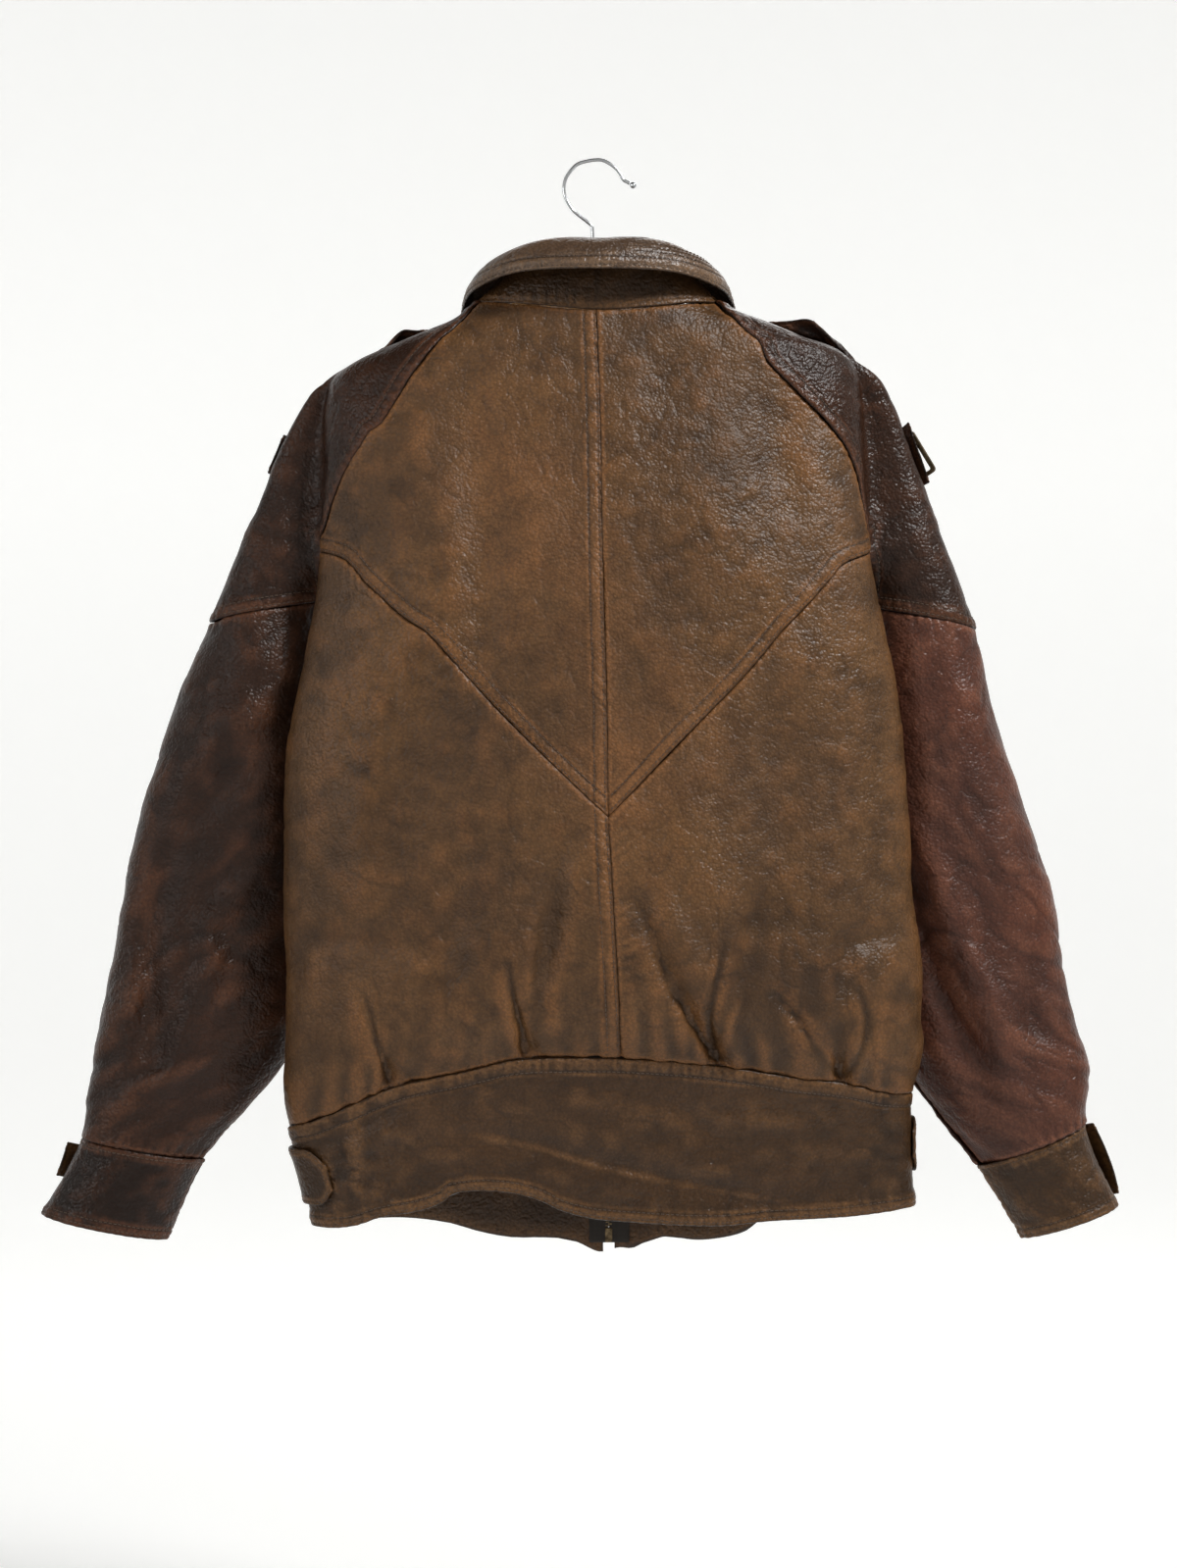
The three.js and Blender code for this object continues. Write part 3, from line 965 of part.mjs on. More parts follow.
// The slider's bridge is an arch over the pull's top bar, which turns inside it
const sliderSeat = bodySurface(zipAngle(0, SLIDER_Z), SLIDER_Z);
const sliderY = sliderSeat.point.y + chainLift + CHAIN_THICK / 2 + SEAM_GAP;
const plate = new THREE.BoxGeometry(SLIDER_WIDTH, SLIDER_THICK, SLIDER_HEIGHT).translate(0, SLIDER_THICK / 2, 0);
const arch = new THREE.Shape();
arch.moveTo(-BRIDGE_HALF, 0).lineTo(BRIDGE_HALF, 0).lineTo(BRIDGE_HALF, BRIDGE_RISE - 1);
arch.lineTo(BRIDGE_HALF - 1, BRIDGE_RISE).lineTo(-BRIDGE_HALF + 1, BRIDGE_RISE).lineTo(-BRIDGE_HALF, BRIDGE_RISE - 1);
arch.closePath();
const window = new THREE.Path();
const windowHalf = BRIDGE_HALF - BRIDGE_WIRE;
window.moveTo(-windowHalf, 0.6).lineTo(-windowHalf, BRIDGE_RISE - BRIDGE_WIRE);
window.lineTo(windowHalf, BRIDGE_RISE - BRIDGE_WIRE).lineTo(windowHalf, 0.6).closePath();
arch.holes.push(window);
const bridge = new THREE.ExtrudeGeometry(arch, { depth: BRIDGE_WIDTH, bevelEnabled: false });
bridge.applyMatrix4(new THREE.Matrix4().makeBasis(
  new THREE.Vector3(0, 0, 1), new THREE.Vector3(0, 1, 0), new THREE.Vector3(-1, 0, 0)));
bridge.translate(BRIDGE_WIDTH / 2, SLIDER_THICK - 0.6, 0);
const slider = add('zip_slider', joined(plate, bridge), ZIP_METAL);
slider.position.set(ZIP_X, sliderY, SLIDER_Z);
const pullShape = new THREE.Shape();
const pullHalf = PULL_WIDTH / 2;
pullShape.moveTo(-pullHalf, PULL_BAR / 2).lineTo(pullHalf, PULL_BAR / 2).lineTo(pullHalf, -PULL_LENGTH + pullHalf);
pullShape.absarc(0, -PULL_LENGTH + pullHalf, pullHalf, 0, -Math.PI, true);
pullShape.closePath();
const eye = new THREE.Path();
const eyeHalf = BRIDGE_WIDTH / 2 + SEAM_GAP + 0.2;
eye.moveTo(-eyeHalf, -PULL_BAR / 2).lineTo(-eyeHalf, -EYE_LENGTH).lineTo(eyeHalf, -EYE_LENGTH);
eye.lineTo(eyeHalf, -PULL_BAR / 2).closePath();
pullShape.holes.push(eye);
const pullGeometry = new THREE.ExtrudeGeometry(pullShape, { depth: PULL_BAR, bevelEnabled: false, curveSegments: 8 });
pullGeometry.rotateX(Math.PI / 2).translate(0, PULL_BAR / 2, 0);
const pull = add('zip_pull', pullGeometry, ZIP_METAL);
pull.position.set(ZIP_X, sliderY + SLIDER_THICK + PULL_AXIS_RISE, SLIDER_Z);

export default jacket;
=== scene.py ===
import math

import bpy
import numpy as np
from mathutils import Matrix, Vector


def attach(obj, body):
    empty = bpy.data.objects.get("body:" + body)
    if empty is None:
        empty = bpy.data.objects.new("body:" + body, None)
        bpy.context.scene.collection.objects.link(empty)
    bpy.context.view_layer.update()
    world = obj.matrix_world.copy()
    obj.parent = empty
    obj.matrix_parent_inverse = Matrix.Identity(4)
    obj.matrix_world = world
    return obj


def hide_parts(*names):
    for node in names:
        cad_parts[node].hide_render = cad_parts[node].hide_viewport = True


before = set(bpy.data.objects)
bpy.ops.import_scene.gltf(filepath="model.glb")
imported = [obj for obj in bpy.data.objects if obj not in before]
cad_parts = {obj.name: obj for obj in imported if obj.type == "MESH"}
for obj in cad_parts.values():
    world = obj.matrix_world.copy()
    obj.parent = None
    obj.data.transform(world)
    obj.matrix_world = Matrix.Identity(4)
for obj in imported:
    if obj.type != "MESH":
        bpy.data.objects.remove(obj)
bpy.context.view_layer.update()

# Camera: level, square to the back of the jacket, about two metres off.
# The photograph spans 1.12 m from top to bottom at the jacket's own depth.
camera_data = bpy.data.cameras.new("camera")
camera = bpy.data.objects.new("camera", camera_data)
bpy.context.scene.collection.objects.link(camera)
bpy.context.scene.camera = camera
camera_data.sensor_fit = "VERTICAL"
camera_data.sensor_height = 24.0
camera_data.lens = 41.85
camera.location = (-0.0042, -1.956, -0.445)
camera.rotation_euler = (math.radians(90), 0, 0)

# Back yoke: two halves of cowhide, sewn down the middle and pointed at the foot.
# Its neck edge takes the collar, its sides the raglan sleeves, its foot the lower back.
# The body's shape is worked out here, because this is the first piece cut on it.
LEATHER = 1.8
MIDDLE_X = 4
BACK_ROUND = 2.6
SIDE_SEAM_ANGLE = 97
UNDERARM_Z = -281
SEAM_HALF_GAP = 0.15


def smooth_through(rows):
    """Value at a place: a cubic between the rows on either side, whose slope at a row is
    that of the chord between its two neighbours."""
    place, value = np.array(sorted(rows), float).T
    slope = np.gradient(value)
    slope[1:-1] = (value[2:] - value[:-2]) / (place[2:] - place[:-2])
    slope[0] = (value[1] - value[0]) / (place[1] - place[0])
    slope[-1] = (value[-1] - value[-2]) / (place[-1] - place[-2])

    def at(x):
        x = np.clip(x, place[0], place[-1])
        i = np.clip(np.searchsorted(place, x, side="right") - 1, 0, len(place) - 2)
        span = place[i + 1] - place[i]
        u = (x - place[i]) / span
        start = (1 + 2 * u) * (1 - u) ** 2 * value[i] + u * u * (3 - 2 * u) * value[i + 1]
        return start + span * (u * (1 - u) ** 2 * slope[i] + u * u * (u - 1) * slope[i + 1])

    return at


back_depth = smooth_through([
    [-104, 38], [-113, 42], [-150, 46], [-200, 49], [-300, 51], [-500, 50], [-640, 43], [-790, 38]])
front_depth = smooth_through([
    [-104, 34], [-172, 36], [-250, 46], [-400, 54], [-600, 57], [-700, 48], [-790, 43]])
front_hollow = smooth_through([[-104, 0.8], [-175, 0.9], [-260, 1.3], [-400, 1.5], [-790, 1.5]])
side_y = smooth_through([
    [-104, 0], [-165, -1], [-220, -7], [-277, -12], [-400, -16], [-600, -16], [-700, -9], [-790, -5]])
left_edge = smooth_through([
    [-100, -78], [-104, -85], [-108, -91], [-116, -102], [-122.5, -117], [-133, -144], [-145, -171],
    [-155, -184], [-165, -189], [-185, -190.5], [-220, -191], [-248, -192], [-281, -194], [-310, -197],
    [-340, -201.6], [-406, -212.8], [-458, -217.7], [-520, -218.5], [-585, -219.5], [-633, -221.2],
    [-655, -221.5], [-675, -220], [-703, -213.7], [-725, -207], [-758, -201], [-795, -199]])
right_edge = smooth_through([
    [-100, 84], [-103.5, 90.5], [-107, 98], [-111, 107], [-115.5, 120], [-127, 148], [-134.5, 170],
    [-142, 181], [-150, 186], [-160, 189], [-185, 190.5], [-224, 191], [-262, 193], [-281, 194.6],
    [-310, 200], [-336, 205], [-374, 213], [-411, 218.4], [-451, 220.5], [-521, 224.7], [-573, 229],
    [-608, 228.5], [-628, 230.5], [-645, 228], [-659, 225], [-678, 224], [-724, 225.4], [-742, 227],
    [-795, 227]])
centre_seam_x = smooth_through([
    [-113, 1.4], [-186, 3.7], [-304, 5.8], [-396, 8.4], [-468, 9.4], [-515, 12.1], [-634, 18.2], [-760, 20]])
neck_back_z = smooth_through([
    [-92, -103.6], [-69, -106.4], [-38, -109.6], [2, -113], [45, -110.2], [67, -107], [96, -103.6]])
band_top_z = smooth_through([
    [-222, -692], [-215, -689.5], [-172, -670.6], [-138, -655.9], [-92, -645.4], [-55, -636.7],
    [-20, -635.3], [24, -635.8], [84, -640.5], [141, -649.6], [174, -653.8], [202, -660.8], [228, -665]])
PUFF = 14
PUFF_HEIGHT = 55
SEAM_CALM = 7
PLEATS = [
    dict(foot=-138, head=-156, height=40, depth=7, width=5),
    dict(foot=-47, head=-56, height=52, depth=7, width=5),
    dict(foot=86, head=58, height=56, depth=8, width=6),
    dict(foot=174, head=160, height=46, depth=8, width=5),
]
# Folds of the back: points (x, z) along each, its depth into the jacket (+) or out (-), its width
BACK_FOLDS = [
    ([[-84, -170], [-78, -280], [-76, -370]], 4, 15),
    ([[132, -175], [134, -265]], 4, 18),
    ([[132, -390], [130, -480], [118, -560]], 4, 16),
    ([[-24, -484], [-33, -560], [-38, -592]], 6, 9),
    ([[-92, -495], [-98, -540], [-104, -578]], 5, 15),
    ([[-206, -560], [-170, -552], [-118, -562]], 5, 12),
    ([[31, -528], [62, -596], [85, -632]], 5, 7),
    ([[46, -524], [74, -588]], -4, 10),
    ([[113, -525], [98, -592]], 5, 9),
    ([[206, -548], [176, -556], [172, -590]], 5, 10),
    ([[124, -588], [146, -614], [173, -646]], 4, 5),
    ([[-150, -400], [-166, -470], [-160, -530]], -3, 14),
    ([[60, -400], [64, -500]], -3, 18),
]
BAND_FOLDS = [
    ([[-92, -690], [-40, -697], [59, -722], [129, -739]], 3, 8),
    ([[-176, -712], [-150, -690], [-120, -676]], -3, 9),
    ([[60, -668], [90, -700]], 2.5, 9),
]


def half_width(z, sign):
    """Half the jacket's width on one side of its middle line at a height."""
    return np.abs(np.where(sign < 0, left_edge(z), right_edge(z)) - MIDDLE_X)


def back_angle(x, z):
    """Angle round the body whose sine, times the half width, gives x; 0 is the middle of the back."""
    sign = np.where(x < MIDDLE_X, -1.0, 1.0)
    return sign * np.degrees(np.arcsin(np.clip(np.abs(x - MIDDLE_X) / half_width(z, sign), 0, 1)))


def front_angle(x, z, sign):
    """The same on the fronts, where 180 is the middle and each front keeps its own sign."""
    part = np.clip(sign * (x - MIDDLE_X) / half_width(z, sign), -1, 1)
    return sign * (180 - np.degrees(np.arcsin(part)))


def fold_depth(folds, x, z):
    """Sum over the folds of depth, times a bell of the distance to the fold's line, times
    a half sine of the way along it, so that each fold dies out at its ends."""
    total = np.zeros(np.broadcast(x, z).shape)
    for along, depth, width in folds:
        nearest = np.full(total.shape, np.inf)
        travel = np.zeros(total.shape)
        pieces = len(along) - 1
        for i, ((ax, az), (bx, bz)) in enumerate(zip(along, along[1:])):
            length = math.hypot(bx - ax, bz - az)
            t = np.clip(((x - ax) * (bx - ax) + (z - az) * (bz - az)) / length ** 2, 0, 1)
            away = np.hypot(x - ax - t * (bx - ax), z - az - t * (bz - az))
            travel = np.where(away < nearest, (i + t) / pieces, travel)
            nearest = np.minimum(away, nearest)
        total += depth * np.sin(np.pi * (0.12 + 0.76 * travel)) * np.exp(-((nearest / width) ** 2))
    return total


def pleat_depth(x, rise):
    """Each pleat is a narrow trough that leans and widens as it rises and a ridge beside it."""
    total = np.zeros(np.broadcast(x, rise).shape)
    for p in PLEATS:
        up = np.clip(rise / p["height"], 0, 1)
        line = p["foot"] + (p["head"] - p["foot"]) * up
        width = p["width"] * (1 + 0.8 * up)
        total += p["depth"] * (1 - up) ** 0.8 * np.exp(-(((x - line) / width) ** 2))
        total -= 0.45 * p["depth"] * (1 - up) * np.exp(-(((x - line - 2.2 * width) / width) ** 2))
    return total


def body_place(angle, z):
    """Place on the body: across by the sine of the angle, and out by a rounded box on the back
    and a power of the cosine on the fronts. The back blouses above the waistband and is folded."""
    angle = np.mod(angle + 180.0, 360) - 180
    z = np.broadcast_to(z, angle.shape).astype(float)
    sign = np.where(angle < 0, -1.0, 1.0)
    turn = np.abs(angle)
    sine = np.sin(np.radians(turn))
    x = MIDDLE_X + sign * half_width(z, sign) * sine
    rise = z - band_top_z(x)
    up = np.maximum(rise, 0) / PUFF_HEIGHT
    puff = PUFF * up * np.exp(1 - up)
    folds = np.where(rise > 0, fold_depth(BACK_FOLDS, x, z) + pleat_depth(x, rise), fold_depth(BAND_FOLDS, x, z))
    folds *= np.clip((90 - turn) / 25, 0, 1) * np.clip(np.abs(rise) / SEAM_CALM, 0, 1)
    bow = np.maximum(1 - sine ** BACK_ROUND, 0) ** (1 / BACK_ROUND)
    back = side_y(z) - (back_depth(z) + puff) * bow + folds
    front = side_y(z) + front_depth(z) * np.abs(np.cos(np.radians(turn))) ** front_hollow(z)
    return np.stack([x, np.where(turn <= 90, back, front), z], -1)


def travelled(line):
    """Length of a line of points up to each of them."""
    return np.concatenate([[0], np.cumsum(np.linalg.norm(np.diff(line, axis=0), axis=1))])


def even_line(points):
    """Smooth line through points, each piece a cubic with the chord of its neighbours as slope,
    as a function of the share of its length."""
    p = np.array(points, float)
    t = np.linspace(0, len(p) - 1, 40 * (len(p) - 1) + 1)
    i = np.minimum(t.astype(int), len(p) - 2)
    u = (t - i)[:, None]
    before, after = p[np.maximum(i - 1, 0)], p[np.minimum(i + 2, len(p) - 1)]
    s0, s1 = (p[i + 1] - before) / 2, (after - p[i]) / 2
    line = (2 * p[i] - 2 * p[i + 1] + s0 + s1) * u ** 3 + (-3 * p[i] + 3 * p[i + 1] - 2 * s0 - s1) * u ** 2
    line += s0 * u + p[i]
    travel = travelled(line)
    travel /= travel[-1]
    return lambda share: np.stack([np.interp(share, travel, line[:, n]) for n in range(p.shape[1])], -1)


# Distances from a seam at which the grids have their first lines
NEAR_SEAM = np.array([SEAM_HALF_GAP, 0.55, 1.1, 1.9, 3.0, 4.4])


def shares(length, pitch):
    """Shares of a line of some length: close together near its two ends, where the seams are."""
    near = NEAR_SEAM / length
    inner = np.linspace(near[-1], 1 - near[-1], max(int(length / pitch), 4) + 1)[1:-1]
    return np.concatenate([near, inner, 1 - near[::-1]])


def patch(top, bottom, first, last, u, v):
    """Surface between four edge lines: the two ways of joining facing edges, added, less the
    one that joins the four corners."""
    u, v = u[None, :, None], v[:, None, None]
    top, bottom, first, last = top[None], bottom[None], first[:, None], last[:, None]
    corners = (1 - u) * (1 - v) * top[:, :1] + u * (1 - v) * top[:, -1:]
    corners = corners + (1 - u) * v * bottom[:, :1] + u * v * bottom[:, -1:]
    return (1 - v) * top + v * bottom + (1 - u) * first + u * last - corners


def lumps(a, b, size, seed, octaves=2):
    """Uneven surface: random heights on a square lattice joined by smooth steps, and
    again at half the size and half the height for each further octave."""
    heights = np.random.default_rng(seed).uniform(-1, 1, (octaves, 64, 64))
    total = np.zeros(np.broadcast(a, b).shape)
    for n in range(octaves):
        p, q = a / size * 2 ** n + 7.3 * n, b / size * 2 ** n + 3.1 * n
        i, j = np.floor(p).astype(int), np.floor(q).astype(int)
        s, t = p - i, q - j
        s, t = s * s * (3 - 2 * s), t * t * (3 - 2 * t)
        h = heights[n]
        near = (1 - s) * h[i % 64, j % 64] + s * h[(i + 1) % 64, j % 64]
        far = (1 - s) * h[i % 64, (j + 1) % 64] + s * h[(i + 1) % 64, (j + 1) % 64]
        total += ((1 - t) * near + t * far) / 2 ** n
    return total


def edge_first(a, edge):
    """The same grid turned so that one edge of the piece is its first row."""
    flat = a if edge in ("top", "bottom") else a.swapaxes(0, 1)
    return flat if edge in ("top", "first") else flat[::-1]


def edge_back(a, edge):
    """A grid turned back again."""
    flat = a if edge in ("top", "first") else a[::-1]
    return flat if edge in ("top", "bottom") else flat.swapaxes(0, 1)


def from_edge(grid, edge):
    """Distance of each place from an edge and its travel along it, in mm: the length of the grid
    line that leaves the edge, times the sine of the angle at which it leaves."""
    g = edge_first(grid, edge)
    steps = np.linalg.norm(np.diff(g, axis=0), axis=2)
    away = np.concatenate([np.zeros((1, g.shape[1])), np.cumsum(steps, axis=0)])
    tangent = np.gradient(g[0], axis=0)
    tangent /= np.linalg.norm(tangent, axis=1)[:, None] + 1e-9
    leaving = g[min(8, len(g) - 1)] - g[0]
    leaving /= np.linalg.norm(leaving, axis=1)[:, None] + 1e-9
    sine = np.linalg.norm(np.cross(tangent, leaving), axis=1)
    travel = travelled(g[0])
    away = away * np.maximum(sine, 0.2)
    return edge_back(away, edge), edge_back(np.broadcast_to(travel, away.shape), edge)


def surface_normals(grid, core):
    """Unit normals from the cross product of the grid's two directions, on the side away from
    the core, a place or places inside the piece's hollow."""
    normal = np.cross(np.gradient(grid, axis=0), np.gradient(grid, axis=1))
    normal /= np.linalg.norm(normal, axis=2)[:, :, None] + 1e-9
    outward = np.sign(np.sum(normal * (grid - core)))
    return normal * outward, outward


def plain(edge, pucker=0.2, width=4):
    """A seam with hardly any welt and no stitches on its face."""
    return (edge, 0.1, width, [], pucker)


def sewn_relief(grid, seams, seed):
    """Height of a panel near its seams: a welt where the turned-in edge lies under it, a
    groove along each row of stitches, and waves along the seam where the thread draws it in."""
    relief = np.zeros(grid.shape[:2])
    for n, (edge, height, width, rows, pucker) in enumerate(seams):
        away, travel = from_edge(grid, edge)
        relief += height / (1 + np.exp((away - width) / 0.9))
        relief -= 0.9 * np.exp(-((away / 0.9) ** 2))
        for row in rows:
            relief -= 0.75 * np.exp(-(((away - row) / 0.9) ** 2))
        reach = max([width, *rows]) + 3
        wave = np.sin(travel / 1.25 + 2.2 * lumps(travel, away * 0.3, 19, seed + n))
        wave *= 0.6 + 0.8 * lumps(travel, away, 31, seed + 40 + n)
        relief += pucker * wave * np.exp(-((away / reach) ** 2)) * np.clip(away / 1.5, 0, 1)
    return relief


def shell(name, outer, inner, step, flip):
    """Closed wall between an outer grid and an inner grid that keeps every few of its rows and
    columns: quads on both, and triangles round the rim from each outer point to its nearest."""
    rows, columns = outer.shape[:2]
    keep_r = np.append(np.arange(0, rows - 1, step), rows - 1)
    keep_c = np.append(np.arange(0, columns - 1, step), columns - 1)
    inside = inner[np.ix_(keep_r, keep_c)]
    front = np.arange(rows * columns).reshape(rows, columns)
    behind = rows * columns + np.arange(inside.shape[0] * inside.shape[1]).reshape(inside.shape[:2])

    def quads(ids):
        return np.stack([ids[:-1, :-1], ids[1:, :-1], ids[1:, 1:], ids[:-1, 1:]], -1).reshape(-1, 4)

    def rim(line, keep, far):
        near = np.abs(np.arange(len(line))[:, None] - keep[None, :]).argmin(1)
        a, b, c, d = line[:-1], line[1:], far[near[1:]], far[near[:-1]]
        return np.concatenate([np.stack([a, b, c], -1), np.stack([a, c, d], -1)[c != d]])

    tris = np.concatenate([
        rim(front[0], keep_c, behind[0]), rim(front[-1, ::-1], (columns - 1 - keep_c)[::-1], behind[-1, ::-1]),
        rim(front[::-1, 0], (rows - 1 - keep_r)[::-1], behind[::-1, 0]), rim(front[:, -1], keep_r, behind[:, -1])])
    faces = np.concatenate([quads(front), quads(behind)[:, ::-1]])
    if flip:
        faces, tris = faces[:, ::-1], tris[:, ::-1]
    places = np.concatenate([outer.reshape(-1, 3), inside.reshape(-1, 3)]) * 0.001
    mesh = mesh_from(name, places, [faces, tris])
    return mesh, keep_r, keep_c


def mesh_from(name, places, face_groups):
    """Mesh object from arrays of places in metres and of face corners."""
    mesh = bpy.data.meshes.new(name)
    corners = np.concatenate([f.ravel() for f in face_groups])
    sizes = np.concatenate([np.full(len(f), f.shape[1]) for f in face_groups])
    mesh.vertices.add(len(places))
    mesh.vertices.foreach_set("co", places.astype(np.float32).ravel())
    mesh.loops.add(len(corners))
    mesh.loops.foreach_set("vertex_index", corners.astype(np.int32))
    mesh.polygons.add(len(sizes))
    starts = np.concatenate([[0], np.cumsum(sizes)[:-1]])
    mesh.polygons.foreach_set("loop_start", starts.astype(np.int32))
    mesh.update(calc_edges=True)
    mesh.polygons.foreach_set("use_smooth", np.ones(len(sizes), bool))
    thing = bpy.data.objects.new(name, mesh)
    bpy.context.scene.collection.objects.link(thing)
    return thing


def leather_panel(name, grid, core, seams, seed, relief=0.0, thick=LEATHER, tan=0.0, dark=0.0, step=4):
    """One cut piece of leather: its middle surface, raised by its relief and its seams, with
    thickness on both sides and a rounded edge. Places that stand out are made lighter, as wear and painted highlight,
    and places that sink are made darker, as painted shade."""
    normal, outward = surface_normals(grid, core)
    relief = relief + sewn_relief(grid, seams, seed)
    edge_away = np.minimum.reduce([from_edge(grid, e)[0] for e in ("top", "bottom", "first", "last")])
    round_off = np.sqrt(np.clip(1 - 0.75 * (1 - np.clip(edge_away / (thick / 2), 0, 1)) ** 2, 0, 1))
    middle = grid + normal * relief[..., None]
    normal, outward = surface_normals(middle, core)
    outer = middle + normal * (thick / 2 * round_off)[..., None]
    inner = middle - normal * (thick / 2 * round_off)[..., None]
    thing, keep_r, keep_c = shell(name, outer, inner, step, outward < 0)
    # Ridges are lightened as wear and painted highlight; hollows are darkened as painted shade, on top of the panel's
    # own darker places.
    spread = relief - blurred(relief, 6)
    wear_and_highlight, painted_shade_and_dark = np.clip(spread * 1.1, 0, 0.8), dark + np.clip(-spread * 0.6, 0, 0.55)
    # Along each seam: light lines on the welt and beside each row of stitches, as wear and painted highlight, a dark
    # line right at the seam, and a dark line of stitch holes on each row.
    for n, (edge, _, _, rows, _) in enumerate(seams):
        away, travel = from_edge(grid, edge)
        rubbed = 0.55 + 0.6 * lumps(travel, away, 22, seed + 60 + n)
        wear_and_highlight = wear_and_highlight + 0.95 * np.exp(-(((away - 2.1) / 1.1) ** 2))
        painted_shade_and_dark = painted_shade_and_dark + 1.5 * np.exp(-((away / 1.0) ** 2))
        for row in rows:
            wear_and_highlight = wear_and_highlight + 1.1 * rubbed * np.exp(-(((away - row - 1.8) / 1.1) ** 2))
            painted_shade_and_dark = painted_shade_and_dark + 1.3 * np.exp(-(((away - row) / 0.8) ** 2))
    look = np.zeros(relief.shape + (4,), np.float32)
    look[..., 0] = np.clip(wear_and_highlight, 0, 1)
    look[..., 1] = tan
    look[..., 2] = np.clip(painted_shade_and_dark, 0, 1)
    look[..., 3] = 1
    values = np.concatenate([look.reshape(-1, 4), look[np.ix_(keep_r, keep_c)].reshape(-1, 4)])
    attribute = thing.data.attributes.new("look", "FLOAT_COLOR", "POINT")
    attribute.data.foreach_set("color", values.ravel())
    return thing, outer, normal


def blurred(a, reach):
    """Mean over a square of the grid, from running sums along both ways."""
    for axis in (0, 1):
        before, after = (np.repeat(a.take([end], axis), reach, axis) for end in (0, -1))
        padded = np.concatenate([before, a, after], axis)
        total = np.cumsum(padded, axis)
        total = np.concatenate([np.zeros_like(total.take([0], axis)), total], axis)
        count = a.shape[axis]
        far = total.take(range(2 * reach, 2 * reach + count), axis)
        a = (far - total.take(range(count), axis)) / (2 * reach)
    return a


def surface_row(outer, normal, grid, edge, distance):
    """Line on a panel's face at a distance from one of its edges, with the normals there."""
    away = edge_first(from_edge(grid, edge)[0], edge)
    g, n = edge_first(outer, edge), edge_first(normal, edge)
    i = np.clip((away < distance).sum(0) - 1, 0, len(g) - 2)
    column = np.arange(g.shape[1])
    span = away[i + 1, column] - away[i, column]
    t = ((distance - away[i, column]) / np.where(span > 0, span, 1))[:, None]
    return g[i, column] * (1 - t) + g[i + 1, column] * t, n[i, column]


def rows_at(outer, normal, grid, *places):
    """Lines on a panel's face for its rows of stitches, each at a distance from an edge."""
    return [surface_row(outer, normal, grid, edge, distance) for edge, distance in places]


def stitches(name, rows, pitch=3.4, thread=0.34, share=0.74):
    """Rows of stitches as one mesh: each is a short four-sided thread that comes out of the
    leather, lies on it and goes back in."""
    all_places, all_faces, count = [], [], 0
    for line, normal in rows:
        travel = travelled(line)
        starts = np.arange(pitch, travel[-1] - 2 * pitch, pitch)
        along = starts[:, None] + pitch * share * np.array([0, 0.18, 0.5, 0.82, 1.0])[None]
        lift = thread * np.array([-1.0, 0.45, 0.7, 0.45, -1.0])
        where = np.stack([np.interp(along, travel, line[:, n]) for n in range(3)], -1)
        up = np.stack([np.interp(along, travel, normal[:, n]) for n in range(3)], -1)
        up /= np.linalg.norm(up, axis=-1)[..., None]
        way = where[:, -1:] - where[:, :1]
        way = way / np.linalg.norm(way, axis=-1)[..., None]
        side = np.cross(way, up)
        middle = where + up * lift[None, :, None]
        ring = [middle + thread * (c * side + s * up) for c, s in ((1, 0), (0, 1), (-1, 0), (0, -1))]
        places = np.stack(ring, 2)
        number = len(starts)
        ids = count + np.arange(number * 20).reshape(number, 5, 4)
        turned = np.roll(ids, -1, axis=2)
        sides = np.stack([ids[:, :-1], turned[:, :-1], turned[:, 1:], ids[:, 1:]], -1).reshape(-1, 4)
        ends = np.concatenate([ids[:, 0, ::-1], ids[:, -1]])
        all_places.append(places.reshape(-1, 3))
        all_faces.append(np.concatenate([sides, ends]))
        count += number * 20
    thing = mesh_from(name, np.concatenate(all_places) * 0.001, [np.concatenate(all_faces)])
    thing.data.materials.append(thread_finish)
    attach(thing, "jacket")
    return thing


def node(tree, kind, inputs=None, **settings):
    """A shader node with its settings and its input values."""
    made = tree.nodes.new(kind)
    for key, value in settings.items():
        setattr(made, key, value)
    for key, value in (inputs or {}).items():
        if isinstance(value, bpy.types.NodeSocket):
            tree.links.new(value, made.inputs[key])
        else:
            made.inputs[key].default_value = value
    return made


def srgb(red, green, blue):
    """Linear colour of an 8-bit screen colour."""
    c = np.array([red, green, blue]) / 255
    return (*np.where(c <= 0.04045, c / 12.92, ((c + 0.055) / 1.055) ** 2.4), 1.0)


def new_material(name):
    """A material, its node tree, its shader and the object's own coordinates in it."""
    made = bpy.data.materials.new(name)
    made.use_nodes = True
    tree = made.node_tree
    return made, tree, tree.nodes["Principled BSDF"], node(tree, "ShaderNodeTexCoord").outputs["Object"]


def mixed(tree, share, one, two):
    """Colour that goes from one to two by a share."""
    return node(tree, "ShaderNodeMix", {"Factor": share, 6: one, 7: two}, data_type="RGBA").outputs[2]


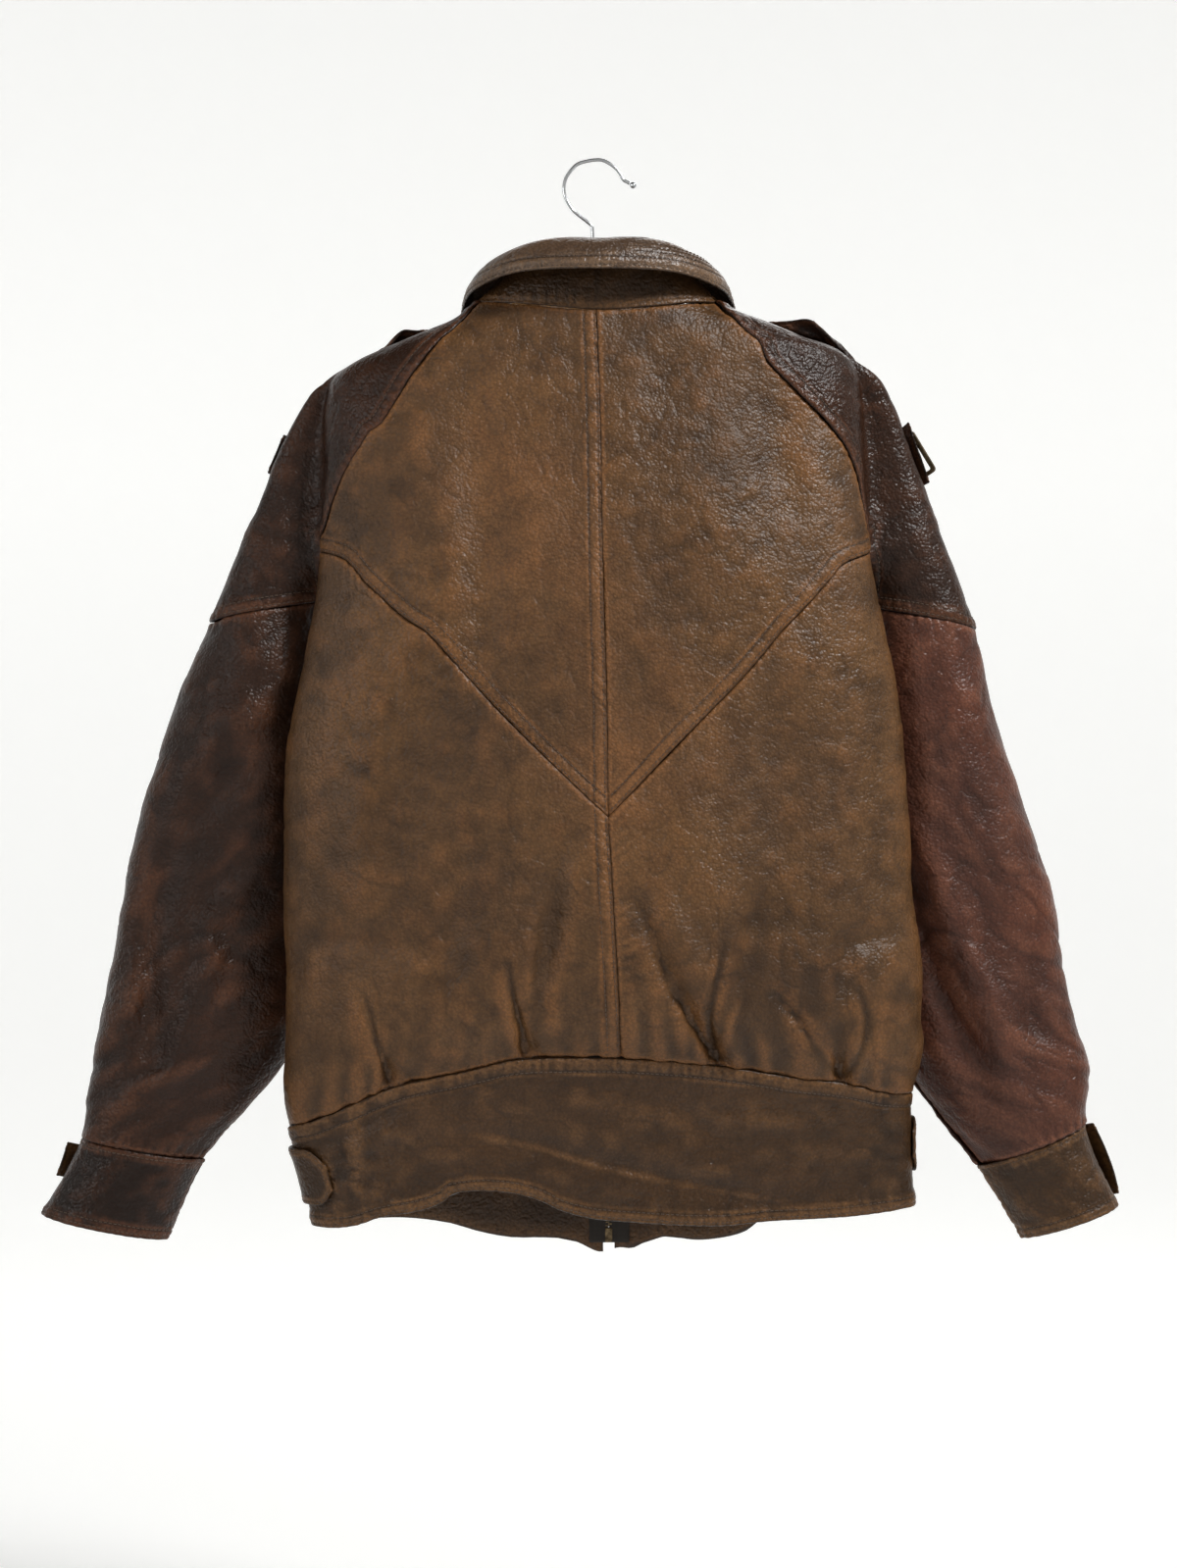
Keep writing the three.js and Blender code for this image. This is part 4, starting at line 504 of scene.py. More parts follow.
def leather_finish(name, base, light, deep, worn, gloss, shine):
    """Dyed cowhide: a base colour clouded by two sizes of noise, rubbed tan where the panel's
    own attribute says, lighter in specks where it holds wear and painted highlight, darker where
    it holds painted shade and dark marks, with a pebble grain, fine creases and rubbed shiny spots
    in bump and roughness."""
    finish, tree, shader, place = new_material(name)
    look = node(tree, "ShaderNodeAttribute", attribute_name="look")
    parts = node(tree, "ShaderNodeSeparateColor", {"Color": look.outputs["Color"]})
    cloud = node(tree, "ShaderNodeTexNoise", {"Vector": place, "Scale": 9.0, "Detail": 5.0, "Roughness": 0.6})
    blot = node(tree, "ShaderNodeTexNoise", {"Vector": place, "Scale": 46.0, "Detail": 6.0, "Roughness": 0.65})
    speck = node(tree, "ShaderNodeTexNoise", {"Vector": place, "Scale": 420.0, "Detail": 3.0, "Roughness": 0.6})

    def ramp(value, low, high):
        return node(tree, "ShaderNodeMapRange", {"Value": value, "From Min": low, "From Max": high}).outputs["Result"]

    def times(one, two):
        made = node(tree, "ShaderNodeMath", {0: one, 1: two}, operation="MULTIPLY")
        return made.outputs["Value"]

    colour = mixed(tree, ramp(cloud.outputs["Fac"], 0.38, 0.66), base, light)
    colour = mixed(tree, times(ramp(blot.outputs["Fac"], 0.46, 0.68), 0.62), colour, deep)
    tan = times(parts.outputs["Green"], ramp(blot.outputs["Fac"], 0.30, 0.62))
    colour = mixed(tree, times(tan, 0.6), colour, worn)
    # Painted shade: the attribute's third channel, painted shade and dark marks, darkens the colour.
    colour = mixed(tree, times(parts.outputs["Blue"], 0.75), colour, deep)
    # The attribute's first channel, wear and painted highlight, lightens the colour in specks.
    scuffed = times(parts.outputs["Red"], ramp(speck.outputs["Fac"], 0.25, 0.58))
    colour = mixed(tree, times(scuffed, 0.75), colour, worn)
    colour = mixed(tree, times(ramp(speck.outputs["Fac"], 0.48, 0.7), 0.3), colour, deep)
    pebble = node(tree, "ShaderNodeTexVoronoi", {"Vector": place, "Scale": 480.0, "Randomness": 1.0},
                  feature="SMOOTH_F1")
    pebble.inputs["Smoothness"].default_value = 0.3
    colour = mixed(tree, times(ramp(pebble.outputs["Distance"], 0.3, 0.65), 0.3), colour, deep)
    tree.links.new(colour, shader.inputs["Base Color"])

    fold = node(tree, "ShaderNodeTexNoise", {"Vector": place, "Scale": 150.0, "Detail": 4.0, "Roughness": 0.55,
                                             "Distortion": 0.6})
    crease = node(tree, "ShaderNodeTexVoronoi", {"Vector": place, "Scale": 105.0}, feature="DISTANCE_TO_EDGE")
    crease_line = ramp(crease.outputs["Distance"], 0.0, 0.12)
    grain = node(tree, "ShaderNodeBump", {"Height": pebble.outputs["Distance"], "Strength": 0.55, "Distance": 0.0008},
                 invert=True)
    wrinkled = node(tree, "ShaderNodeBump", {"Height": fold.outputs["Fac"], "Strength": 0.55, "Distance": 0.002,
                                             "Normal": grain.outputs["Normal"]})
    creased = node(tree, "ShaderNodeBump", {"Height": crease_line, "Strength": 0.2, "Distance": 0.0008,
                                            "Normal": wrinkled.outputs["Normal"]})
    tree.links.new(creased.outputs["Normal"], shader.inputs["Normal"])
    rubbed = ramp(cloud.outputs["Fac"], 0.35, 0.7)
    rough = node(tree, "ShaderNodeMapRange", {"Value": rubbed, "To Min": gloss + 0.12, "To Max": gloss - 0.08})
    worn_off = node(tree, "ShaderNodeMath", {0: rough.outputs["Result"], 1: times(parts.outputs["Green"], 0.1)},
                    operation="ADD")
    tree.links.new(worn_off.outputs["Value"], shader.inputs["Roughness"])
    shader.inputs["Specular IOR Level"].default_value = shine
    return finish


body_leather = leather_finish(
    "body_leather", srgb(80, 55, 31), srgb(100, 70, 41), srgb(40, 26, 14), srgb(130, 86, 48), 0.38, 0.24)
trim_leather = leather_finish(
    "trim_leather", srgb(54, 35, 17), srgb(70, 47, 26), srgb(27, 17, 8), srgb(120, 84, 50), 0.3, 0.24)
sleeve_leather = leather_finish(
    "sleeve_leather", srgb(37, 21, 12), srgb(52, 31, 20), srgb(18, 10, 6), srgb(96, 60, 40), 0.28, 0.2)
red_leather = leather_finish(
    "red_leather", srgb(68, 38, 27), srgb(90, 52, 38), srgb(34, 18, 13), srgb(124, 78, 57), 0.32, 0.24)
collar_leather = leather_finish(
    "collar_leather", srgb(68, 50, 36), srgb(88, 68, 52), srgb(36, 25, 17), srgb(126, 98, 72), 0.3, 0.4)

thread_finish, thread_tree, thread_shader, thread_place = new_material("thread")
twist = node(thread_tree, "ShaderNodeTexNoise", {"Vector": thread_place, "Scale": 900.0}).outputs["Fac"]
thread_tree.links.new(
    mixed(thread_tree, twist, srgb(50, 38, 30), srgb(88, 68, 50)), thread_shader.inputs["Base Color"])
thread_shader.inputs["Roughness"].default_value = 0.7

# Rubbed, orange-tan places of the back: x, z, half width, half height, strength
TAN_PLACES = [
    (-44, -265, 40, 66, 1.0), (8, -345, 26, 70, 0.55), (-80, -215, 34, 44, 0.5), (16, -440, 36, 40, 1.0),
    (64, -412, 34, 44, 0.45), (-196, -600, 30, 60, 0.3), (-120, -560, 50, 60, 0.2), (150, -450, 40, 60, 0.15),
]
# Darker places of the back: x, z, half width, half height, strength. Under the collar, down the sides beside the
# sleeves and about the pleats they are painted shade; the rest are broad patches, partly dark smudges in the leather
# and partly painted shade of soft folds.
SHADE_AND_SMUDGE_PLACES = [
    (-150, -470, 40, 70, 0.55), (120, -570, 50, 50, 0.6), (-95, -560, 40, 40, 0.55), (170, -590, 44, 50, 0.55),
    (70, -200, 60, 70, 0.35), (-90, -380, 50, 50, 0.35), (0, -108, 90, 12, 0.6), (190, -250, 20, 60, 0.4),
    (-185, -300, 20, 90, 0.4), (85, -635, 50, 30, 0.4),
]


def patches(places, x, z):
    """Sum of soft ovals of given strength, held between nothing and all."""
    total = np.zeros(x.shape)
    for px, pz, wide, high, strength in places:
        total += strength * np.exp(-(((x - px) / wide) ** 2) - ((z - pz) / high) ** 2)
    return np.clip(total, 0, 1)


def thin_lines(pattern, width):
    """Bell over the winding lines along which a pattern of lumps passes through nothing."""
    return np.exp(-((np.abs(pattern) / width) ** 2))


def soft_creases(x, z, seed):
    """Uneven hang of soft leather: broad waves, smaller ones and thin sunken creases."""
    broad = 2.3 * lumps(x, z * 0.6, 62, seed, 2)
    small = 0.5 * lumps(x, z, 15, seed + 1, 2)
    return broad + small - 0.5 * thin_lines(lumps(x, z * 0.7, 23, seed + 2, 2), 0.07)


def finished(thing, cad_node, finish):
    """Gives a piece its finish, puts it under the jacket's body and hides the imported node that it stands for."""
    thing.data.materials.append(finish)
    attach(thing, "jacket")
    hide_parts(cad_node)


def dressed(thing, cad_node, finish, slot, flat, area):
    """The same for a leather piece. The flat size that it was cut to is not used."""
    finished(thing, cad_node, finish)


# Widest, longest and area of each half as it is cut, in metres
YOKE_CUT = {
    "left": ((0.303, 0.356), 0.0450), "right": ((0.290, 0.356), 0.0444)}
RAGLAN_BACK = {
    "left": [[-79.5, -103.6], [-91, -116.2], [-103.8, -128.8], [-123.2, -151.9], [-147, -189.7], [-157.8, -199.2],
             [-164.7, -210], [-175.7, -228.2], [-184.1, -247.8], [-189.5, -264]],
    "right": [[85.5, -103], [96.5, -116.2], [119, -143.5], [141.4, -169.1], [162.4, -190], [178.5, -210.7],
              [185.5, -228.6], [189, -247.8], [191.5, -263]],
}
YOKE_FOOT = {
    "left": [[-177, -286.3], [-159.2, -304.5], [-131.6, -329.4], [-109.2, -346.5], [-56.7, -404.6], [9.4, -468]],
    "right": [[177, -289], [162.4, -303.8], [136.5, -331.5], [121.8, -348.6], [69.3, -405.3], [9.4, -468]],
}
RAGLAN_FRONT = [[-84, -118], [-100, -142], [-124, -180], [-150, -222], [-172, -256]]
SIDES = {"left": -1, "right": 1}
BODY_CORE = np.array([MIDDLE_X, 0, -400.0])
lines = {}
for name, sign in SIDES.items():
    underarm = [sign * SIDE_SEAM_ANGLE, UNDERARM_Z]
    raglan = [[float(back_angle(x, z)), z] for x, z in RAGLAN_BACK[name]]
    mirrored = [[x if sign < 0 else 2 * MIDDLE_X - x, z] for x, z in RAGLAN_FRONT]
    foot = [[float(back_angle(x, z)), z] for x, z in YOKE_FOOT[name][::-1]]
    lines[name] = dict(
        underarm=underarm,
        raglan_back=even_line([*raglan, [sign * 89, -273], underarm]),
        raglan_front=even_line([*[[float(front_angle(x, z, sign)), z] for x, z in mirrored], underarm]),
        yoke_foot=even_line([*foot, [sign * 89, -280], underarm]),
    )

yoke_stitch_rows = []
for name, sign in SIDES.items():
    u, v = shares(190, 2.1), shares(330, 2.1)
    z = -113 + (-468 + 113) * v
    centre = np.stack([back_angle(centre_seam_x(z), z), z], -1)
    start = float(centre_seam_x(-113.0))
    x = start + (RAGLAN_BACK[name][0][0] - start) * u
    neck = np.stack([back_angle(x, neck_back_z(x)), neck_back_z(x)], -1)
    places = patch(neck, lines[name]["yoke_foot"](u), centre, lines[name]["raglan_back"](v), u, v)
    grid = body_place(places[..., 0], places[..., 1])
    x, z = grid[..., 0], grid[..., 2]
    centre_rows = [2, 9] if name == "left" else []
    seams = [
        ("first", 0.8 if name == "left" else 0.15, 11, centre_rows, 0.4 if name == "left" else 0.2),
        ("bottom", 0.8, 10.5, [2.2, 8.8], 0.42),
        plain("last", 0.3),
        plain("top", 0.25),
    ]
    yoke, outer, normal = leather_panel(
        f"yoke_{name}", grid, BODY_CORE, seams, 11 + sign, relief=soft_creases(x, z, 5 + sign),
        tan=patches(TAN_PLACES, x, z), dark=patches(SHADE_AND_SMUDGE_PLACES, x, z))
    dressed(yoke, f"back_yoke_{name}", body_leather, "leather_body", *YOKE_CUT[name])
    for edge, rows in (("first", centre_rows), ("bottom", [2.2, 8.8])):
        yoke_stitch_rows += [surface_row(outer, normal, grid, edge, row) for row in rows]
stitches("yoke_stitching", yoke_stitch_rows)

# Lower back: two halves of the same leather, sewn to the yoke's point and down the middle.
# Pleats pinch it into the waistband, and it blouses over it.
BACK_COLUMNS = 17
LOWER_BACK_CUT = {
    "left": ((0.303, 0.412), 0.0764), "right": ((0.290, 0.387), 0.0700)}


def band_places(sign, u):
    """Places along the seam of the waistband: x by a density that is higher at the pleats, with
    the last stretch running round to the side seam."""
    start, end = float(centre_seam_x(band_top_z(18.0))), -219.5 if sign < 0 else 224.0
    x = start + np.linspace(0, 1, 401) * (end - start)
    middle = (x[1:] + x[:-1]) / 2
    density = 1 + sum(2.4 * np.exp(-(((middle - p["foot"]) / 11) ** 2)) for p in PLEATS)
    total = np.concatenate([[0], np.cumsum(density)])
    last = (BACK_COLUMNS - 1) / BACK_COLUMNS
    x = np.interp(np.minimum(u, last) * total[-1], total, x)
    z = band_top_z(x)
    places = np.stack([back_angle(x, z), z], -1)
    side = np.array([sign * SIDE_SEAM_ANGLE, float(band_top_z(-219.0 if sign < 0 else 226.0))])
    round_side = np.clip((u - last) / (1 - last), 0, 1)[:, None]
    return places * (1 - round_side) + side * round_side


# Sharp creases that run up from the pleats, as (x, z) points, depth into the leather and width
PLEAT_CREASES = [
    ([[86, -640], [76, -624], [54, -589], [38, -549], [27, -523]], 2.2, 2.4),
    ([[86, -640], [80, -617], [79, -603], [83, -582], [89, -555]], 2.6, 2.6),
    ([[90, -632], [92, -612], [98, -596]], -1.6, 4),
    ([[174, -653], [181, -640], [188, -624], [190, -608], [183, -587]], 2.4, 2.6),
    ([[171, -651], [155, -633], [139, -605], [121, -589]], 2.0, 3.0),
    ([[164, -640], [150, -618], [134, -596]], -1.5, 5),
    ([[-48, -637], [-50, -617], [-56, -592], [-60, -568]], 2.4, 2.2),
    ([[-55, -630], [-61, -605], [-66, -580]], -1.5, 4),
    ([[-43, -595], [-36, -573], [-32, -549], [-27, -517]], 2.5, 8),
    ([[-141, -656], [-148, -635], [-154, -614], [-160, -589]], 2.2, 2.4),
    ([[-150, -648], [-158, -625], [-166, -600]], -1.3, 4),
    ([[-211, -600], [-204, -560], [-190, -540]], 1.6, 6),
]


def gathers(x, rise):
    """Small folds that fan up from the waistband's seam between the pleats."""
    lean = x + 0.18 * rise * np.sin(x / 60)
    waves = np.sin(lean / 3.1 + 2.5 * lumps(lean, rise * 0.2, 26, 71)) * (0.5 + 0.5 * lumps(x, rise, 40, 72))
    return 1.5 * waves * np.exp(-np.abs(rise - 6) / 24)


back_stitch_rows = []
for name, sign in SIDES.items():
    u, v = shares(225, 2.1), shares(260, 2.1)
    z = -468 + (float(band_top_z(18.2)) + 468) * v
    centre = np.stack([back_angle(centre_seam_x(z), z), z], -1)
    end = band_places(sign, np.array([1.0]))[0]
    lines[name]["side_seam"] = lambda s, a=np.array(lines[name]["underarm"]), b=end: a + (b - a) * s[:, None]
    places = patch(lines[name]["yoke_foot"](u), band_places(sign, u), centre, lines[name]["side_seam"](v), u, v)
    grid = body_place(places[..., 0], places[..., 1])
    x, z = grid[..., 0], grid[..., 2]
    centre_rows = [2, 9] if name == "left" else []
    seams = [
        ("first", 0.7 if name == "left" else 0.15, 11, centre_rows, 0.4),
        plain("top", 0.35), plain("bottom", 0.55, 5), plain("last")]
    relief = soft_creases(x, z, 25 + sign) + gathers(x, z - band_top_z(x)) - fold_depth(PLEAT_CREASES, x, z)
    lower, outer, normal = leather_panel(
        f"lower_{name}", grid, BODY_CORE, seams, 31 + sign, relief=relief,
        tan=patches(TAN_PLACES, x, z), dark=patches(SHADE_AND_SMUDGE_PLACES, x, z))
    dressed(lower, f"lower_back_{name}", body_leather, "leather_body", *LOWER_BACK_CUT[name])
    back_stitch_rows += [surface_row(outer, normal, grid, "first", row) for row in centre_rows]
stitches("lower_back_stitching", back_stitch_rows)

# Waistband: one long piece across the back, double at the hem, topstitched below its upper
# seam and twice along its free lower edge.
back_hem_z = smooth_through([
    [-210, -758.2], [-201, -758.1], [-183, -755.3], [-164, -749], [-132, -743.4], [-116, -737.8], [-106, -731.5],
    [-83, -729], [-60, -730.8], [-42, -735.7], [-26, -742.7], [-3.5, -748.3], [22, -750.8], [86, -753.9],
    [125, -750.8], [173, -749], [204, -746.2], [230, -743.4]])
u = shares(230, 2.1)
along = np.concatenate([band_places(-1, u)[::-1], band_places(1, u)])
v = shares(100, 2.1)[:, None]
x = body_place(along[:, 0], along[:, 1])[:, 0]
depth = along[None, :, 1] + (back_hem_z(x) - along[:, 1])[None] * v
grid = body_place(np.broadcast_to(along[None, :, 0], depth.shape), depth)
x, z = grid[..., 0], grid[..., 2]
band_relief = 0.8 * lumps(x * 0.5, z, 26, 91) + 0.35 * lumps(x, z, 11, 92)
band_relief = band_relief - 0.4 * thin_lines(lumps(x * 0.5, z, 19, 93), 0.07)
BAND_CREASE = ([[-85, -690], [-40, -699], [0, -712], [54, -724], [132, -737]], -0.9, 2.2)
WRINKLED_X = -175
band_relief -= fold_depth([BAND_CREASE], x, z)
wrinkled = np.exp(-(((x - WRINKLED_X) / 30) ** 2))
band_relief += wrinkled * (1.1 * lumps(x, z * 0.8, 12, 97, 3) - 0.8 * thin_lines(lumps(x, z, 15, 98), 0.12))
seams = [("top", 0.7, 9, [9.5], 0.65), ("bottom", 1.1, 9, [2.4, 7], 0.5), plain("first"), plain("last")]
waistband, outer, normal = leather_panel(
    "waistband", grid, BODY_CORE, seams, 51, relief=band_relief, tan=0.25 * patches([(-40, -680, 120, 30, 1)], x, z))
dressed(waistband, "waistband_back", trim_leather, "leather_trim", *((0.490, 0.116), 0.0453))
stitches("waistband_stitching", rows_at(outer, normal, grid, ("top", 9.5), ("bottom", 2.4), ("bottom", 7)))

# Fronts: two plain panels from the raglan and side seams to the closed zip.
ZIP_X = 10.5
FRONT_CUT = {
    "left": ((0.256, 0.615), 0.1144), "right": ((0.241, 0.585), 0.1045)}
CHAIN_WIDTH = 5.4
front_band_top_z = smooth_through([[-222, -692], [-150, -694], [ZIP_X, -694], [150, -684], [228, -665]])
NECK_FRONT = [[-84, -118], [-68, -138], [-44, -157], [-20, -168]]
FRONT_NECK_Z = -172
front_stitch_rows = []
for name, sign in SIDES.items():
    u, v = shares(225, 4.2), shares(590, 4.2)
    edge_x = ZIP_X + sign * (CHAIN_WIDTH / 2 + 1.3)
    mirrored = [[x if sign < 0 else 2 * MIDDLE_X - x, z] for x, z in NECK_FRONT]
    neck_line = even_line([*[[float(front_angle(x, z, sign)), z] for x, z in mirrored],
                           [float(front_angle(edge_x, FRONT_NECK_Z, sign)), FRONT_NECK_Z]])
    lines[name]["front_neck"] = neck_line
    upper = lines[name]["raglan_front"](np.clip(v * 25 / 12, 0, 1))
    rest = lines[name]["side_seam"](np.clip((v * 25 - 12) / 13, 0, 1))
    outer_line = np.where((v < 12 / 25)[:, None], upper, rest)
    z = FRONT_NECK_Z + (float(front_band_top_z(edge_x)) - FRONT_NECK_Z) * v
    middle = np.stack([front_angle(edge_x, z, sign), z], -1)
    angle = sign * SIDE_SEAM_ANGLE + (middle[-1, 0] - sign * SIDE_SEAM_ANGLE) * u
    foot = np.stack([angle, front_band_top_z(body_place(angle, -690.0)[:, 0])], -1)
    places = patch(neck_line(u), foot, outer_line, middle, u, v)
    grid = body_place(places[..., 0], places[..., 1])
    x, z = grid[..., 0], grid[..., 2]
    seams = [("last", 0.6, 9, [2.5, 7.5], 0.25), plain("bottom", 0.4, 5), plain("first"), plain("top")]
    front, outer, normal = leather_panel(
        f"front_panel_{name}", grid, BODY_CORE, seams, 61 + sign, relief=soft_creases(x, z, 65 + sign),
        tan=0.25)
    dressed(front, f"front_{name}", body_leather, "leather_body", *FRONT_CUT[name])
    front_stitch_rows += rows_at(outer, normal, grid, ("last", 2.5), ("last", 7.5))

# Front waistband: the band carried round to the zip, one length on each side.
FRONT_BAND_CUT = {
    "left": ((0.229, 0.092), 0.0159), "right": ((0.227, 0.090), 0.0165)}
front_hem_z = smooth_through([
    [-210, -758.2], [-183, -758.1], [-148, -758.5], [-113, -763.7], [-92, -770], [-67, -774.9], [-38, -775.6],
    [-20, -777], [-10, -780.5], [3, -786], [18, -783], [28, -783.3], [38, -778], [52, -774.9], [73, -777],
    [92, -774.9], [108, -770], [118, -762], [128, -752], [173, -748], [230, -743.4]])
for name, sign in SIDES.items():
    u, v = shares(225, 3.2), shares(85, 3.2)[:, None]
    edge_x = ZIP_X + sign * (CHAIN_WIDTH / 2 + 1.3)
    last = float(front_angle(edge_x, float(front_band_top_z(edge_x)), sign))
    angle = sign * SIDE_SEAM_ANGLE + (last - sign * SIDE_SEAM_ANGLE) * u
    x = body_place(angle, -690.0)[:, 0]
    top = front_band_top_z(x)
    depth = top[None] + (front_hem_z(x) - top)[None] * v
    grid = body_place(np.broadcast_to(angle[None], depth.shape), depth)
    x, z = grid[..., 0], grid[..., 2]
    seams = [("top", 0.3, 9, [9.5], 0.35), ("bottom", 0.8, 9, [2.4, 7], 0.3),
             ("last", 0.6, 9, [2.5], 0.2), plain("first")]
    band, outer, normal = leather_panel(
        f"front_band_{name}", grid, BODY_CORE, seams, 71 + sign, relief=0.8 * lumps(x * 0.5, z, 26, 95), tan=0.1)
    dressed(band, f"waistband_front_{name}", trim_leather, "leather_trim", *FRONT_BAND_CUT[name])
    front_stitch_rows += rows_at(
        outer, normal, grid, ("top", 9.5), ("bottom", 2.4), ("bottom", 7), ("last", 2.5))
stitches("front_stitching", front_stitch_rows)

# Upper sleeves: raglan, cut from the neck to a cross seam on the upper arm, and raised over
# the body's seam with a stitched welt. Each hangs in a ridge from the hanger's end.
UPPER_SLEEVE_CUT = {
    "left": ((0.204, 0.313), 0.0382), "right": ((0.196, 0.319), 0.0389)}
CAP_STATIONS = 12
UPPER_STATIONS = 14
SLEEVE_STATIONS = 30
CUFF_STATIONS = 33
CAP = {
    "left": [[-85, -104], [-100, -115], [-118, -122.5], [-134, -129], [-150, -135.5], [-166, -142.5], [-181, -150],
             [-193, -158.5], [-203, -167], [-214, -185], [-226, -208], [-239, -239], [-254, -274]],
    "right": [[90.5, -103.6], [107, -111], [121, -115.7], [135, -121.3], [148.4, -126.7], [161, -130.5], [174, -134.8],
              [186, -142], [197, -149], [206.5, -158.5], [217, -178], [232, -219], [248, -263]],
}
SLEEVE_OUTER = {
    "left": [[-265, -301], [-276.8, -328.8], [-292, -366], [-304, -401], [-315, -439], [-326, -478], [-336, -515],
             [-344, -555], [-351, -595], [-357, -632], [-364, -668], [-366, -699]],
    "right": [[262, -300], [274.8, -334], [284, -372], [294, -408], [304.5, -445], [315.5, -480], [325.5, -516],
              [332.5, -552], [339.5, -588], [348, -622], [355, -650], [350.7, -688.8]],
}
SLEEVE_INNER = {
    "left": [[-192, -298], [-193, -313], [-189, -356], [-188, -396], [-189, -436], [-191, -476], [-194, -516],
             [-199, -556], [-206, -595], [-220, -640], [-250, -675], [-281.4, -715]],
    "right": [[197, -299], [197, -318], [192, -358], [190, -398], [190, -440], [192, -480], [196, -520],
              [201, -560], [209, -600], [222, -645], [248, -684], [277, -719.6]],
}
CUFF_END = {"left": ([-396, -753], [-307, -772]), "right": ([374.5, -747], [307.8, -770.7])}
ridge_z = smooth_through([
    [0, -104], [5, -143], [6, -151], [7, -162], [8, -176], [9, -196], [10, -220], [11, -249], [12, UNDERARM_Z]])
outer_y = smooth_through([[0, 0], [7, 0], [8, 2], [10, 8], [12, 13], [14, 15], [20, 16], [26, 13], [30, 8], [33, 6]])
inner_y = smooth_through([[12, -10], [13, 6], [14, 16], [16, 25], [20, 28], [26, 28], [28, 24], [30, 15], [33, 10]])
back_bulge = smooth_through([[7, 2], [8, 10], [10, 20], [12, 32], [14, 42], [18, 48], [26, 46], [30, 34], [33, 32]])
front_bulge = smooth_through([[7, 2], [8, 10], [10, 18], [12, 26], [14, 32], [18, 36], [26, 36], [30, 32], [33, 30]])
valley = smooth_through([
    [6, 0], [7, 5], [8, 12], [10, 20], [11, 17], [12, 6], [13, -10], [14, -22], [16, -44], [20, -48], [26, -46],
    [30, -34], [33, -32]])
ridge_angle = smooth_through([[0, 84], [6, 86], [10, 88], [11, 90.5], [12, SIDE_SEAM_ANGLE]])
ridge_front_angle = smooth_through([[0, 94], [11, 95], [12, SIDE_SEAM_ANGLE]])
SLEEVE_FOLDS = {
    "left": [
        ([[-331, -548], [-327, -585], [-331, -609], [-332, -640]], -5, 7),
        ([[-302, -495], [-318, -551], [-318, -596], [-314, -642]], 10, 10),
        ([[-227, -499], [-249, -517], [-275, -545], [-271, -570], [-286, -608], [-305, -660]], -7, 9),
        ([[-236, -380], [-262, -407], [-301, -442]], -4, 16),
        ([[-240, -420], [-270, -452], [-298, -480]], 5, 13),
        ([[-232, -622], [-258, -652]], 5, 7),
    ],
    "right": [
        ([[232, -480], [260, -558], [281, -595], [290, -638], [303, -680]], -6, 11),
        ([[222, -510], [244, -575], [262, -620], [280, -670]], 9, 12),
        ([[308.7, -533], [308.7, -603], [315, -628]], 4, 6),
        ([[333, -586], [335, -628], [341, -680]], 3, 5),
        ([[262, -370], [275, -440], [292, -500]], -3, 18),
    ],
}


def outline_of(name):
    """Outer and inner outline of a sleeve as smooth functions of its station."""
    count = len(SLEEVE_OUTER[name])
    stations = [UPPER_STATIONS - 1] + [
        UPPER_STATIONS + i / (count - 2) * (SLEEVE_STATIONS - UPPER_STATIONS) for i in range(count - 1)]
    outside = [*enumerate(CAP[name]), *zip(stations, SLEEVE_OUTER[name]), (CUFF_STATIONS, CUFF_END[name][0])]
    arm = body_place(np.array(lines[name]["underarm"][0]), UNDERARM_Z)
    inside = [(CAP_STATIONS, [arm[0], arm[2]]), *zip(stations, SLEEVE_INNER[name]),
              (CUFF_STATIONS, CUFF_END[name][1])]
    return [smooth_through([[k, p[n]] for k, p in rows]) for rows in (outside, inside) for n in (0, 1)]


def cubic(a, b, c, d, t):
    """Cubic curve from a to d, with b and c as its handles."""
    return (1 - t) ** 3 * a + 3 * (1 - t) ** 2 * t * b + 3 * (1 - t) * t * t * c + t ** 3 * d


def bulged(start, start_y, end, end_y, t):
    """Cubic curves between two rows of points, with handles pushed along y."""
    reach = end - start
    first, second = start + 0.15 * reach, end - 0.04 * reach
    first[:, 1] += start_y
    second[:, 1] += end_y
    return cubic(*(p[:, None] for p in (start, first, second, end)), t[None, :, None])


